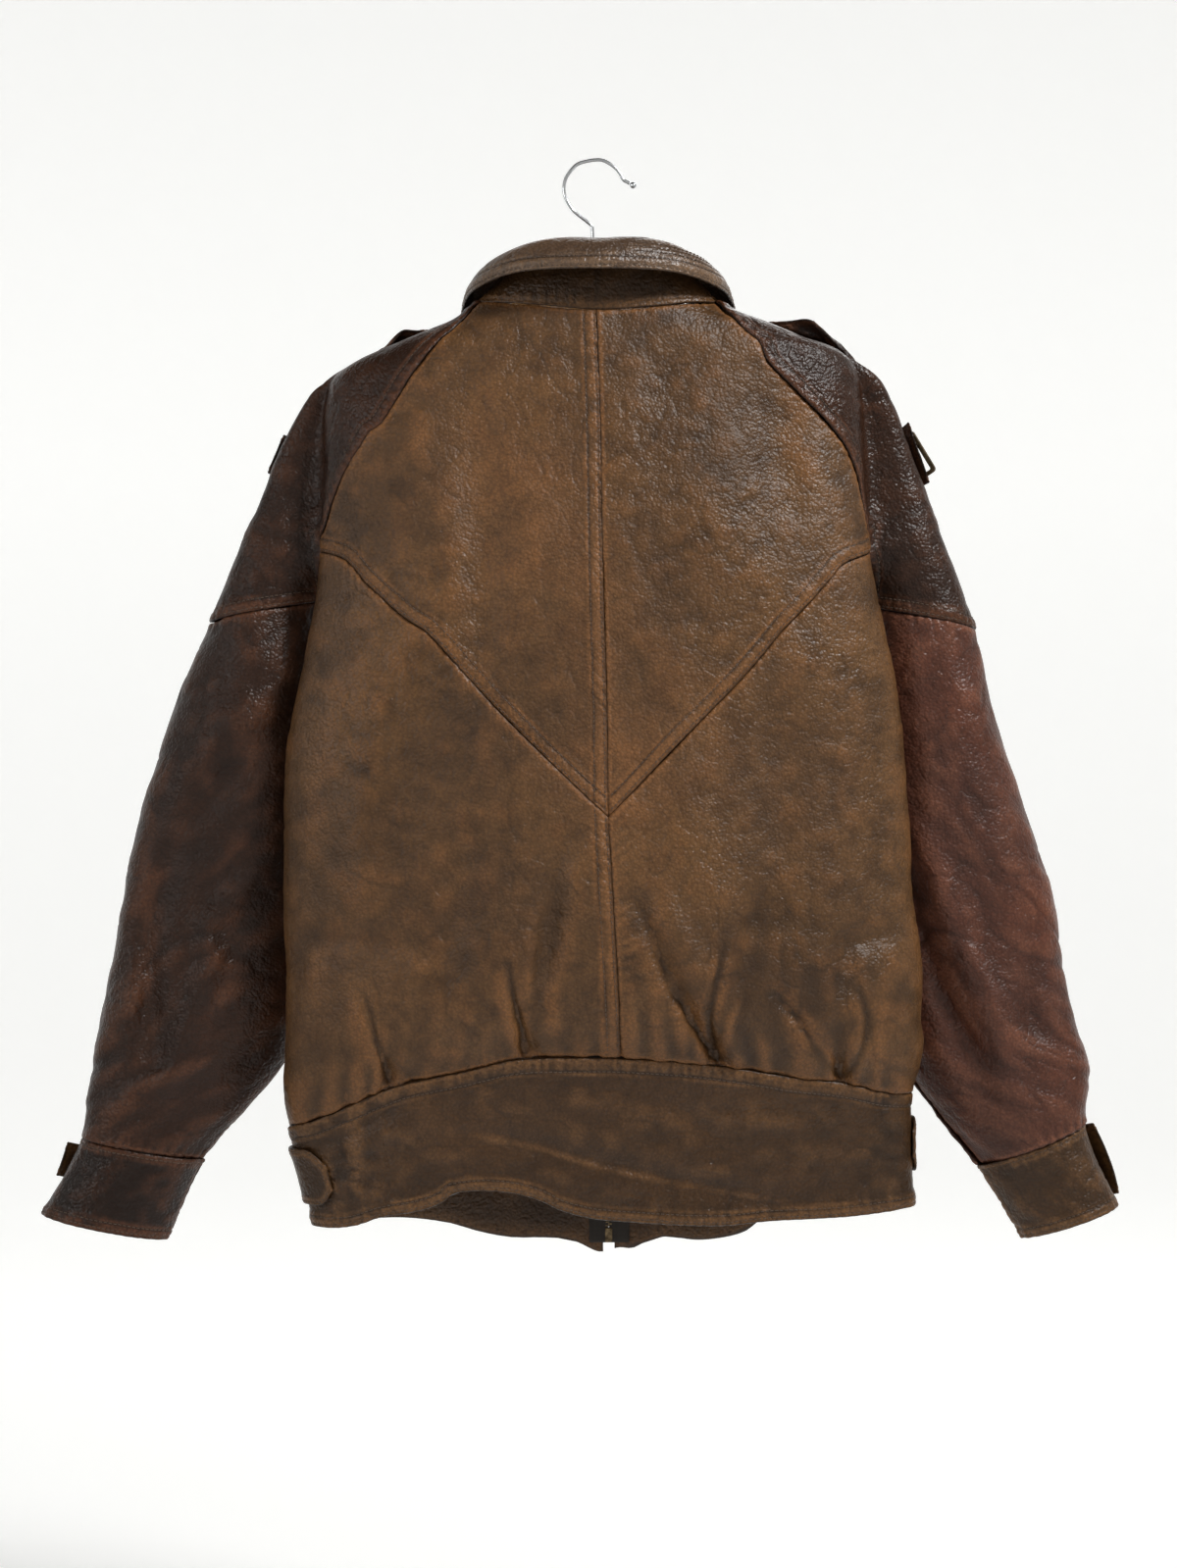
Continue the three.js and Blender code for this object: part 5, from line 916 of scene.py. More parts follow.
def sleeve_grid(name, stations, back_shares, front_shares):
    """Sleeve sections at the stations: over the body from the raglan seam to the ridge and on
    to the outer outline, or all round where it is a tube; each half shared out by its length."""
    k = np.asarray(stations, float)
    sign = SIDES[name]
    outer_x, outer_z, inner_x, inner_z = outline_of(name)
    outside = np.stack([outer_x(k), outer_y(k), outer_z(k)], -1)
    t = np.linspace(0, 1, 49)
    cap = k < CAP_STATIONS
    share = np.clip(k / CAP_STATIONS, 0, 1)
    arm = body_place(np.array(lines[name]["underarm"][0]), UNDERARM_Z)
    inside = np.stack([inner_x(k), inner_y(k), inner_z(k)], -1)
    inside = np.where((k <= CAP_STATIONS)[:, None], arm, inside)
    low = np.minimum(ridge_z(k), outside[:, 2] - 0.4)
    ridge, front_ridge = sign * ridge_angle(k), sign * ridge_front_angle(k)
    halves = []
    for angle, seam, bulge, handle in (
            (ridge, lines[name]["raglan_back"](share), -back_bulge(k), valley(k)),
            (front_ridge, lines[name]["raglan_front"](share), front_bulge(k), np.maximum(valley(k), 0))):
        way = seam[:, None] * (1 - t[None, :, None]) + np.stack([angle, low], -1)[:, None] * t[None, :, None]
        on_body = body_place(way[..., 0], way[..., 1])
        away = bulged(on_body[:, -1].copy(), handle, outside, bulge, t)
        halves.append(np.concatenate([on_body, away[:, 1:]], 1))
    tube_back = bulged(inside, valley(k), outside, -back_bulge(k), t)
    tube_front = bulged(outside, front_bulge(k), inside, np.maximum(-valley(k) * 0.75, valley(k)), t)
    rows = []
    for i in range(len(k)):
        back = halves[0][i] if cap[i] else tube_back[i]
        front = tube_front[i]
        if cap[i]:
            front = cap_front(halves[1][i], outside[i], front_bulge(k[i]), max(float(valley(k[i])), 0), t)
        rows.append(np.concatenate([shared(back, back_shares), shared(front, front_shares)[1:]]))
    grid = np.stack(rows)
    count = len(back_shares)
    if count > 1:
        calm = np.clip((k - UPPER_STATIONS) / 1.5, 0, 1) * np.clip((SLEEVE_STATIONS - k) / 1.5, 0, 1)
        fold = fold_depth(SLEEVE_FOLDS[name], grid[:, :count, 0], grid[:, :count, 2])
        grid[:, :count, 1] += fold * calm[:, None] * np.sin(np.pi * np.clip(back_shares, 0, 1)) ** 0.7
    return grid


def cap_front(half, outside, bulge, handle, t):
    """Front half of a section over the shoulder: from the outline back down to the body's own
    line, which it then follows to the front raglan seam."""
    on_body = half[:len(t)][::-1]
    start, end = outside, on_body[0]
    reach = end - start
    first, second = start + 0.15 * reach + [0, bulge, 0], end - 0.04 * reach + [0, handle, 0]
    return np.concatenate([cubic(start, first, second, end, t[:, None]), on_body[1:]])


def shared(line, at):
    """Points of a line at shares of its length."""
    travel = travelled(line)
    travel /= travel[-1]
    return np.stack([np.interp(at, travel, line[:, n]) for n in range(3)], -1)


def one_way(length, pitch, flip):
    """Shares that are close together only at the end where a seam is."""
    near = NEAR_SEAM / length
    at = np.concatenate([near, np.linspace(near[-1], 1, int(length / pitch))[1:]])
    return 1 - at[::-1] if flip else at


def core_of(grid):
    """Middle of each section, inside the sleeve's hollow."""
    return grid.mean(1, keepdims=True)


sleeve_stitch_rows = []
for name, sign in SIDES.items():
    stations = shares(330, 2.4) * UPPER_STATIONS
    grid = sleeve_grid(name, stations, one_way(170, 2.4, False), one_way(150, 3.4, True))
    x, z = grid[..., 0], grid[..., 2]
    girth = from_edge(grid, "first")[0]
    seams = [("first", 0.9, 8.5, [8.2], 0.35), ("bottom", 0.9, 9, [2.4, 8.4], 0.4), plain("last"), plain("top")]
    relief = 0.9 * lumps(girth, z, 48, 80 + sign) + 0.35 * lumps(girth, z, 14, 82 + sign)
    relief -= 0.45 * thin_lines(lumps(girth, z * 0.7, 21, 84 + sign), 0.07)
    # Painted shade: the sleeve is darkened near its first edge, beside the body.
    sleeve, outer, normal = leather_panel(
        f"upper_sleeve_{name}", grid, core_of(grid), seams, 81 + sign, relief=relief,
        tan=0.12, dark=0.25 * np.exp(-((girth / 30) ** 2)))
    dressed(sleeve, f"sleeve_upper_{name}", sleeve_leather, "leather_sleeve", *UPPER_SLEEVE_CUT[name])
    sleeve_stitch_rows += rows_at(outer, normal, grid, ("first", 8.2), ("bottom", 2.4), ("bottom", 8.4))
stitches("upper_sleeve_stitching", sleeve_stitch_rows)

# Lower sleeves: tubes from the cross seam to the cuff, closed by one seam on the inside, with
# the folds that the elbow has pressed into them.
ELBOW_Z = -560
LOWER_SLEEVE_CUT = {
    "left": ((0.344, 0.429), 0.1173), "right": ((0.317, 0.425), 0.1084)}
for name, sign in SIDES.items():
    stations = UPPER_STATIONS + shares(410, 2.4) * (SLEEVE_STATIONS - UPPER_STATIONS)
    grid = sleeve_grid(name, stations, one_way(170, 2.4, False), one_way(150, 3.4, True))
    x, z = grid[..., 0], grid[..., 2]
    girth = from_edge(grid, "first")[0]
    seams = [plain("top", 0.5), plain("bottom", 0.7, 6), plain("first", 0.25), plain("last", 0.25)]
    slant = z + 0.5 * girth
    relief = 2.9 * lumps(girth, slant * 0.7, 52, 110 + sign) + 0.7 * lumps(girth, slant, 17, 112 + sign)
    relief -= 0.6 * thin_lines(lumps(girth * 0.8, slant * 0.8, 24, 114 + sign), 0.07)
    at_elbow = np.exp(-(((z - ELBOW_Z) / 70) ** 2))
    relief -= 0.9 * thin_lines(lumps(girth * 0.5, slant, 44, 118 + sign), 0.06) * at_elbow
    # Painted shade: the sleeve is darkened near its first edge, beside the body.
    sleeve, outer, normal = leather_panel(
        f"lower_sleeve_{name}", grid, core_of(grid), seams, 85 + sign, relief=relief, tan=0.15,
        dark=0.3 * np.exp(-((girth / 30) ** 2)))
    dressed(sleeve, f"sleeve_lower_{name}", sleeve_leather if sign < 0 else red_leather, "leather_sleeve",
            *LOWER_SLEEVE_CUT[name])

# Cuffs: doubled bands sewn to the gathered sleeve ends, topstitched above and below.
CUFF_CUT = {
    "left": ((0.216, 0.062), 0.0127), "right": ((0.200, 0.063), 0.0114)}
CUFF_THICK = 2.4
cuff_stitch_rows = []
for name, sign in SIDES.items():
    stations = SLEEVE_STATIONS + shares(72, 2.2) * (CUFF_STATIONS - SLEEVE_STATIONS)
    grid = sleeve_grid(name, stations, one_way(115, 2.4, False), one_way(105, 3.0, True))
    x, z = grid[..., 0], grid[..., 2]
    girth = from_edge(grid, "first")[0]
    seams = [("top", 0.5, 5, [3], 0.6), ("bottom", 0.9, 8, [2.6, 7], 0.4), plain("first"), plain("last")]
    relief = 0.9 * lumps(girth, z, 26, 123 + sign) + 0.4 * lumps(girth, z, 9, 127 + sign)
    relief -= 0.5 * thin_lines(lumps(girth, z * 0.6, 17, 129 + sign), 0.08)
    # Painted shade: the left cuff is darkened all over; the right one is not.
    cuff, outer, normal = leather_panel(
        f"cuff_band_{name}", grid, core_of(grid), seams, 121 + sign, relief=relief,
        thick=CUFF_THICK, tan=0.1, dark=0.95 if sign < 0 else 0.0)
    dressed(cuff, f"cuff_{name}", sleeve_leather if sign < 0 else trim_leather, "leather_trim", *CUFF_CUT[name])
    cuff_stitch_rows += rows_at(outer, normal, grid, ("top", 3), ("bottom", 2.6), ("bottom", 7))
stitches("cuff_stitching", cuff_stitch_rows)

# Collar: a stand that rises from the neck seam, and a fall sewn to its top, which turns over
# and down round the neck. The fall's free edge is topstitched.
COLLAR_FOLD = [
    [-2, 31, -140], [-36, 28, -128], [-56, 17, -112], [-65, 4, -97], [-66, -10, -86], [-54, -27, -75], [-30, -35, -67],
    [2, -38, -67], [34, -36, -66], [57, -28, -73], [71, -11, -85], [70, 4, -97], [61, 17, -112], [42, 28, -128],
    [23, 31, -140]]
COLLAR_EDGE = [
    [-10, 47, -198], [-50, 45, -188], [-82, 38, -147], [-95, 20, -113], [-91.5, -2, -100.5], [-80, -31, -95],
    [-54, -52, -89], [2, -63, -88], [55, -53, -89], [82, -34, -94], [97, -4, -99], [100, 20, -110], [88, 38, -145],
    [62, 45, -188], [31, 47, -198]]
FOLD_ROLL = 6
FOLD_START = 1


def smooth_round(points, share):
    """Smooth curve through points in space, whose parameter runs evenly from point to point and
    whose slopes are weighed by the square roots of the chords, so that it never loops."""
    p = np.array(points, float)
    p = np.concatenate([[2 * p[0] - p[1]], p, [2 * p[-1] - p[-2]]])
    t = np.asarray(share) * (len(p) - 3)
    i = np.clip(t.astype(int), 0, len(p) - 4)
    u = (t - i)[:, None]
    a, b, c, d = p[i], p[i + 1], p[i + 2], p[i + 3]
    ab, bc, cd = (np.sqrt(np.linalg.norm(y - x, axis=1))[:, None] for x, y in ((a, b), (b, c), (c, d)))
    s0 = ((b - a) / ab - (c - a) / (ab + bc) + (c - b) / bc) * bc
    s1 = ((c - b) / bc - (d - b) / (bc + cd) + (d - c) / cd) * bc
    return b + s0 * u + (-3 * b + 3 * c - 2 * s0 - s1) * u ** 2 + (2 * b - 2 * c + s0 + s1) * u ** 3


def neck_round():
    """Edge of all the panels round the neck, and the cloth's own direction at it."""
    edges, ways = [], []
    share = np.linspace(0, 1, 30)
    for name in SIDES:
        neck = lines[name]["front_neck"](share)
        edge, low = body_place(neck[:, 0], neck[:, 1]), body_place(neck[:, 0], neck[:, 1] - 6)
        edges.append(edge), ways.append(edge - low)
        both = sleeve_grid(name, [0, 0.4], np.linspace(0, 1, 21), np.linspace(0, 1, 21))
        edges.append(both[0]), ways.append(both[0] - both[1])
        start = RAGLAN_BACK[name][0][0]
        x = start + (MIDDLE_X - start) * share
        edge, low = (body_place(back_angle(x, neck_back_z(x) - d), neck_back_z(x) - d) for d in (0, 6))
        edges.append(edge), ways.append(edge - low)
    edge, way = np.concatenate(edges), np.concatenate(ways)
    compass = np.arctan2(edge[:, 0] - 2, -edge[:, 1])
    order = np.argsort(compass)
    return compass[order], edge[order], way[order] / np.linalg.norm(way[order], axis=1)[:, None]


def collar_lines(share):
    """Foot, fold and free edge of the collar at shares of its length."""
    fold, edge = smooth_round(COLLAR_FOLD, share), smooth_round(COLLAR_EDGE, share)
    compass, seam, way = neck_round()
    at = np.arctan2(fold[:, 0] - 2, -fold[:, 1])
    foot = np.stack([np.interp(at, compass, seam[:, n]) for n in range(3)], -1)
    cloth = np.stack([np.interp(at, compass, way[:, n]) for n in range(3)], -1)
    cloth /= np.linalg.norm(cloth, axis=1)[:, None]
    rise = fold - foot
    rise /= np.linalg.norm(rise, axis=1)[:, None]
    turned = np.sqrt(np.clip(1 - np.sum(cloth * rise, axis=1) ** 2, 0, 1))
    foot = foot + rise * (0.15 + 0.7 * turned)[:, None]
    return foot, fold, edge, rise


u, v = shares(440, 2.2), shares(48, 2.2)[:, None, None]
foot, fold, edge, rise = collar_lines(u)
grid = foot[None] * (1 - v) + fold[None] * v
seams = [plain("bottom", 0.2, 3), ("top", 0.1, 8, [2.4], 0.3), plain("first", 0.1), plain("last", 0.1)]
NECK_CORE = np.array([2, 0, -110.0])
girth, up = from_edge(grid, "first")[0], grid[..., 2]
middle_seam = np.where(grid[..., 1] < 0, np.exp(-(((grid[..., 0] - 1.9) / 0.9) ** 2)), 0)
# Painted shade: the stand is darkened all over, under the fall; the line down its middle is its seam, a dark joint.
stand, outer, normal = leather_panel(
    "collar_band", grid, NECK_CORE, seams, 131, relief=0.3 * lumps(girth, up, 24, 133) - 0.7 * middle_seam,
    dark=0.35 + 0.6 * middle_seam)
dressed(stand, "collar_stand", trim_leather, "leather_trim", *((0.473, 0.046), 0.0133))

u, v = shares(480, 2.0), shares(70, 1.8)[:, None, None]
foot, fold, edge, rise = collar_lines(u)
tangent = np.gradient(fold, axis=0)
outside = np.cross(tangent, rise)
outside /= np.linalg.norm(outside, axis=1)[:, None]
start = fold + rise * FOLD_START
out = edge - start
flat_out = out * [1, 1, 0]
over = start + (rise + outside) * FOLD_ROLL
shoulder = start + flat_out * 0.9 + outside * FOLD_ROLL + out * [0, 0, 0.2]
grid = cubic(start, over, shoulder, edge, v)
girth, down = from_edge(grid, "first")[0], from_edge(grid, "top")[0]
seams = [("bottom", 0.8, 8, [2.4, 8.5], 0.3), plain("top", 0.2, 3),
         ("first", 0.6, 7, [2.4], 0.2), ("last", 0.6, 7, [2.4], 0.2)]
END_X = 24
right_end = (grid[..., 0] > END_X) & (grid[..., 1] < 0)
END_ROWS = (13.5, 17.5, 21.5)
rows_there = sum(np.exp(-((down[-1:] - down - row) ** 2)) for row in END_ROWS)
relief = 0.7 * lumps(girth, down, 30, 135) - 0.4 * right_end * rows_there
relief -= 0.3 * thin_lines(lumps(girth * 0.5, down, 17, 137), 0.08)
fall, outer, normal = leather_panel("collar_leaf", grid, NECK_CORE, seams, 139, relief=relief, tan=0.1)
dressed(fall, "collar_fall", collar_leather, "leather_trim", *((0.560, 0.074), 0.0218))
end_rows = []
for line, out in rows_at(outer, normal, grid, *(("bottom", row) for row in END_ROWS)):
    there = (line[:, 0] > END_X) & (line[:, 1] < 0)
    end_rows.append((line[there], out[there]))
stitches("collar_stitching", rows_at(outer, normal, grid, ("bottom", 2.4), ("bottom", 8.5)) + end_rows)

# Tabs: doubled strips of leather sewn on at one end. The waistband has one on each side, and
# each shoulder, upper arm and cuff has one that stands a little away at its fold.
LAP = 2.2
TAB_CUT = {
    "waist_tab_left": ((0.062, 0.041), 0.00215), "waist_tab_right": ((0.061, 0.040), 0.00211),
    "shoulder_flap_piece_left": ((0.040, 0.045), 0.00113), "shoulder_flap_piece_right": ((0.061, 0.071), 0.00239),
    "sleeve_strap_piece_left": ((0.020, 0.030), 0.00056), "sleeve_strap_piece_right": ((0.057, 0.046), 0.00196),
    "cuff_strap_left": ((0.074, 0.026), 0.00180), "cuff_strap_right": ((0.070, 0.054), 0.00361),
}


def tab(name, cad_node, grid, core, lift, finish, slot, seed, rows=(2.2,)):
    """A strip that follows the panel below it, lifted by its lap and its own rise."""
    normal, _ = surface_normals(grid, core)
    grid = grid + normal * lift[..., None]
    seams = [(edge, 0.5, 5, list(rows), 0.15) for edge in ("top", "bottom")]
    seams += [(edge, 0.3, 4, [], 0.1) for edge in ("first", "last")]
    relief = 0.3 * lumps(grid[..., 0], grid[..., 2], 15, seed)
    strip, outer, normal = leather_panel(name, grid, core, seams, seed, relief=relief, tan=0.1, dark=0.3, step=3)
    dressed(strip, cad_node, finish, slot, *TAB_CUT[name])
    return rows_at(outer, normal, grid, *((edge, row) for edge in ("top", "bottom") for row in rows))


tab_rows = []
for name, start, end, height, flip in (("left", -108, -63, -722, False), ("right", 84, 124, -701, True)):
    u, v = shares(44, 1.5), shares(40, 1.5)[:, None]
    way = 1 - u if flip else u
    half = 20 * np.sqrt(np.maximum(1 - np.maximum((way - 0.8) / 0.2, 0) ** 2, 0.25))
    angle = np.broadcast_to((start + (end - start) * u)[None], (v.shape[0], len(u)))
    grid = body_place(angle, height + half[None] * (1 - 2 * v))
    tab_rows += tab(f"waist_tab_{name}", f"side_tab_{name}", grid, BODY_CORE, LAP + 0.9 + 0 * angle,
                    trim_leather, "leather_trim", 141)

flap_rise = {
    "left": smooth_through([[2, 0], [2.4, 3], [3, 8], [3.6, 1], [4, 0]]),
    "right": smooth_through([[1.6, 0], [2.2, 2], [3.7, 14], [4.6, 9], [5.6, 1], [6, 0]]),
}
# Kind, side, first and last station, first and last place round, rise, and how the rise falls off
STRIPS = [
    ("shoulder_flap", "left", 2, 4, 0.25, 3, flap_rise["left"], 1.6, 3),
    ("shoulder_flap", "right", 2, 6, 0.25, 3, flap_rise["right"], 1.6, 3),
    ("sleeve_strap", "left", 9.5, 10.5, 0, 1, 0.5, 2, 3),
    ("sleeve_strap", "right", 10.25, 11.25, 0, 3, 4, 2, 3),
]
for kind, side, first_k, last_k, first_c, last_c, rise_at, power, reach in STRIPS:
    k = first_k + shares(60, 1.8) * (last_k - first_k)
    c = first_c + shares(50, 1.8) * (last_c - first_c)
    grid = sleeve_grid(side, k, np.array([1.0]), np.concatenate([[0], c / 6]))[:, 1:]
    lift = rise_at(k)[:, None] if callable(rise_at) else np.full((len(k), 1), float(rise_at))
    lift = LAP + 0.5 + lift * np.maximum(1 - c / reach, 0)[None] ** power
    core = core_of(sleeve_grid(side, k, np.linspace(0, 1, 9), np.linspace(0, 1, 9)))
    tab_rows += tab(f"{kind}_piece_{side}", f"{kind}_{side}", grid, core, lift,
                    sleeve_leather, "leather_sleeve", 143)
for side, first_k, last_k in (("left", 0.5, 1.75), ("right", 0.1, 2.75)):
    k = first_k + shares(40, 1.8) * (last_k - first_k)
    c = 0.2 + shares(60, 1.8) * 3.8
    grid = sleeve_grid(side, SLEEVE_STATIONS + k, np.array([1.0]), np.concatenate([[0], c / 6]))[:, 1:]
    away = np.maximum(1 - c / 4, 0)[None]
    if side == "left":
        lift = 13 * away ** 2.5 * (1 - 0.4 * (k - 0.5))[:, None]
    else:
        lift = 12 * away ** 2 * np.sin(np.pi * (0.25 + 0.6 * k / 2.75))[:, None]
    core = core_of(sleeve_grid(side, SLEEVE_STATIONS + k, np.linspace(0, 1, 9), np.linspace(0, 1, 9)))
    tab_rows += tab(f"cuff_strap_{side}", f"cuff_tab_{side}", grid, core, lift + LAP + 0.8,
                    trim_leather, "leather_trim", 147)
stitches("tab_stitching", tab_rows)

# Zip: two woven tapes sewn behind the front edges, a chain of metal teeth between them, the
# box at its foot, and at its top the slider, whose bridge holds the pull.
TAPE_WIDTH = 12
TAPE_THICK = 0.8
ZIP_TOP_Z = -178
ZIP_BOTTOM_Z = -779
BOX_HEIGHT = 11
TEETH_PITCH = 2.6


def zip_place(across, z):
    """Place on the front at a distance across from the zip's middle line."""
    return body_place(180 - np.degrees(np.arcsin((ZIP_X + across - MIDDLE_X) / half_width(z, 1))), z)


def woven(name, one, two, pitch):
    """Woven tape: two threads that cross at right angles, each a sine of one coordinate, as
    bump and as a faint change of colour."""
    made, tree, shader, place = new_material(name)
    threads = [node(tree, "ShaderNodeTexWave", {"Vector": place, "Scale": 0.314 / pitch, "Distortion": 0.4},
                    bands_direction=way).outputs["Fac"] for way in ("X", "Z")]
    weave = node(tree, "ShaderNodeMath", {0: threads[0], 1: threads[1]}, operation="MULTIPLY").outputs["Value"]
    bump = node(tree, "ShaderNodeBump", {"Height": weave, "Strength": 0.5, "Distance": 0.0003})
    tree.links.new(mixed(tree, weave, one, two), shader.inputs["Base Color"])
    tree.links.new(bump.outputs["Normal"], shader.inputs["Normal"])
    shader.inputs["Roughness"].default_value = 0.9
    return made


def metal(name, bright, dull, low, high, scale):
    """Metal whose colour and roughness go between two values by a fractal noise, with hair
    scratches as bump."""
    made, tree, shader, place = new_material(name)
    stain = node(tree, "ShaderNodeTexNoise", {"Vector": place, "Scale": scale, "Detail": 6.0, "Roughness": 0.65})
    share = node(tree, "ShaderNodeMapRange", {"Value": stain.outputs["Fac"], "From Min": 0.35, "From Max": 0.65})
    rough = node(tree, "ShaderNodeMapRange", {"Value": share.outputs["Result"], "To Min": low, "To Max": high})
    scratch = node(tree, "ShaderNodeTexNoise", {
        "Vector": place, "Scale": 8 * scale, "Detail": 2.0, "Distortion": 2.0})
    bump = node(tree, "ShaderNodeBump", {"Height": scratch.outputs["Fac"], "Strength": 0.12, "Distance": 0.0002})
    tree.links.new(mixed(tree, share.outputs["Result"], bright, dull), shader.inputs["Base Color"])
    tree.links.new(rough.outputs["Result"], shader.inputs["Roughness"])
    tree.links.new(bump.outputs["Normal"], shader.inputs["Normal"])
    shader.inputs["Metallic"].default_value = 1.0
    return made


tape_cloth = woven("tape_cloth", srgb(24, 20, 17), srgb(58, 48, 38), 0.0009)
old_brass = metal("old_brass", srgb(124, 106, 80), srgb(52, 43, 33), 0.32, 0.6, 220.0)

for name, sign in SIDES.items():
    across = sign * np.linspace(0.4, CHAIN_WIDTH / 2 + 0.3 + TAPE_WIDTH, 9)
    height = np.linspace(ZIP_TOP_Z, ZIP_BOTTOM_Z, 240)
    grid = zip_place(across[None] + 0 * height[:, None], np.broadcast_to(height[:, None], (240, 9)))
    normal, outward = surface_normals(grid, BODY_CORE)
    middle = grid - normal * (LEATHER / 2 + 0.48 + TAPE_THICK / 2)
    half = normal * TAPE_THICK / 2
    tape, *_ = shell(f"tape_{name}", middle + half, middle - half, 1, outward < 0)
    finished(tape, f"zip_tape_{name}", tape_cloth)


def teeth(name, heights, side):
    """Row of teeth on one tape: each is a six-cornered tongue that reaches just past the middle,
    in four layers whose outer two are smaller, so that its edges are rounded."""
    outline = np.array([[2.6, -0.75], [-0.1, -0.62], [-0.75, -0.3], [-0.75, 0.3], [-0.1, 0.62], [2.6, 0.75]])
    layers = np.array([[-1.1, 0.72], [-0.75, 1.0], [0.75, 1.0], [1.1, 0.72]])
    middle = outline.mean(0)
    flat = middle + (outline - middle)[None] * layers[:, 1, None, None]
    at = zip_place(np.zeros(len(heights)), heights)
    places = np.zeros((len(heights), 4, 6, 3))
    places[..., 0] = at[:, None, None, 0] + side * flat[None, ..., 0]
    places[..., 1] = at[:, None, None, 1] - 1.2 + layers[None, :, None, 0]
    places[..., 2] = at[:, None, None, 2] + flat[None, ..., 1]
    ids = np.arange(places.size // 3).reshape(len(heights), 4, 6)
    turned = np.roll(ids, -1, axis=2)
    walls = np.stack([ids[:, :-1], ids[:, 1:], turned[:, 1:], turned[:, :-1]], -1).reshape(-1, 4)
    ends = np.concatenate([ids[:, 0], ids[:, -1, ::-1]])
    groups = [walls, ends] if side > 0 else [walls[:, ::-1], ends[:, ::-1]]
    thing = mesh_from(name, places.reshape(-1, 3) * 0.001, groups)
    thing.data.polygons.foreach_set("use_smooth", np.zeros(len(thing.data.polygons), bool))
    finished(thing, "zip_chain", old_brass)


first_tooth, last_tooth = ZIP_TOP_Z - 1.2, ZIP_BOTTOM_Z + BOX_HEIGHT + 0.3
teeth("teeth_left", np.arange(first_tooth, last_tooth, -TEETH_PITCH), -1)
teeth("teeth_right", np.arange(first_tooth - TEETH_PITCH / 2, last_tooth, -TEETH_PITCH), 1)


def rings_of(rows, columns):
    """Numbers of the points of rings that lie one after the other, the same shifted by one round
    each ring, and the quads between them."""
    ids = np.arange(rows * columns).reshape(rows, columns)
    after = np.roll(ids, -1, axis=1)
    return ids, after, np.stack([ids[:-1], after[:-1], after[1:], ids[1:]], -1).reshape(-1, 4)


def turned_block(half, power, rows, columns):
    """Rounded block: across and along by signed powers of cosine and sine, so that a power of one
    gives a ball and a small one a block with rounded edges. Each pole is one point."""
    rise = np.linspace(-np.pi / 2, np.pi / 2, rows)[1:-1, None]
    turn = np.linspace(0, 2 * np.pi, columns, endpoint=False)[None]
    bent = lambda a: np.sign(a) * np.abs(a) ** power
    wide = bent(np.cos(rise))
    rings = np.stack([half[0] * wide * bent(np.cos(turn)), half[1] * wide * bent(np.sin(turn)),
                      half[2] * bent(np.sin(rise)) + 0 * turn], -1)
    ids, after, walls = rings_of(*rings.shape[:2])
    foot, top = np.full(columns, ids.size), np.full(columns, ids.size + 1)
    caps = np.concatenate([np.stack([after[0], ids[0], foot], -1), np.stack([ids[-1], after[-1], top], -1)])
    return np.concatenate([rings.reshape(-1, 3), [[0, 0, -half[2]], [0, 0, half[2]]]]), [walls, caps]


places, faces = turned_block((CHAIN_WIDTH / 2, 1.7, BOX_HEIGHT / 2), 0.3, 25, 48)
places[:, 1] *= 1 - 0.28 * np.exp(-((places[:, 0] / 0.5) ** 2)) * (np.abs(places[:, 2]) < 4.2)
at = zip_place(np.array(0.0), ZIP_BOTTOM_Z + BOX_HEIGHT / 2)
zip_foot = mesh_from("zip_foot", (places + at + [0, -1.2, 0]) * 0.001, faces)
finished(zip_foot, "zip_box", old_brass)
for part in ("zip_slider", "zip_pull", "strap_buckle"):
    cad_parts[part].data.materials.clear()
    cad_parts[part].data.materials.append(old_brass)

# Hanger: a varnished wooden bar under the shoulders, with a chromed wire hook screwed into its
# middle, whose tip is closed by a ball.
BAR_DROP = 5.5
BAR_HALF = 4.5
BAR_HEIGHT = 20
BAR_RINGS, BAR_ROUND = 240, 40
bar_tops = [(-60, -101.5), (-25, -98), (22, -98), (66, -101.5)]
for name in SIDES:
    outer_x, outer_z, _, _ = outline_of(name)
    bar_tops += [(float(outer_x(float(k))), float(outer_z(float(k))) - 1.4) for k in range(7)]
bar_top_z = smooth_through([list(top) for top in bar_tops])
bar_x = np.linspace(min(t[0] for t in bar_tops), max(t[0] for t in bar_tops), BAR_RINGS)
reach = -bar_x[0]
out_share = np.minimum(np.abs(bar_x) / reach, 1)
deep = 1 - 0.45 * out_share ** 6
turn = np.linspace(0, 2 * np.pi, BAR_ROUND, endpoint=False)
bent = lambda a: np.sign(a) * np.abs(a) ** 0.5
past_end = (np.abs(bar_x - bar_x.mean()) - (bar_x[-1] - bar_x[0]) / 2 + 4) / 4
tip_round = np.clip(1 - past_end.clip(0) ** 2, 0.02, 1) ** 0.5
half_high = BAR_HEIGHT / 2 * deep
middle_z = bar_top_z(bar_x) - BAR_DROP * out_share ** 5 - half_high
rings = np.stack([
    np.broadcast_to(bar_x[:, None], (BAR_RINGS, BAR_ROUND)),
    BAR_HALF * tip_round[:, None] * bent(np.cos(turn))[None],
    middle_z[:, None] + (half_high * tip_round)[:, None] * bent(np.sin(turn))[None]], -1)
ids, after, walls = rings_of(BAR_RINGS, BAR_ROUND)
near, far = np.full(BAR_ROUND, ids.size), np.full(BAR_ROUND, ids.size + 1)
ends = np.concatenate([np.stack([ids[0], after[0], near], -1), np.stack([after[-1], ids[-1], far], -1)])
middles = np.array([[bar_x[0], 0, middle_z[0]], [bar_x[-1], 0, middle_z[-1]]])
places = np.concatenate([rings.reshape(-1, 3), middles])
bar = mesh_from("shoulder_bar", places * 0.001, [walls[:, ::-1], ends[:, ::-1]])

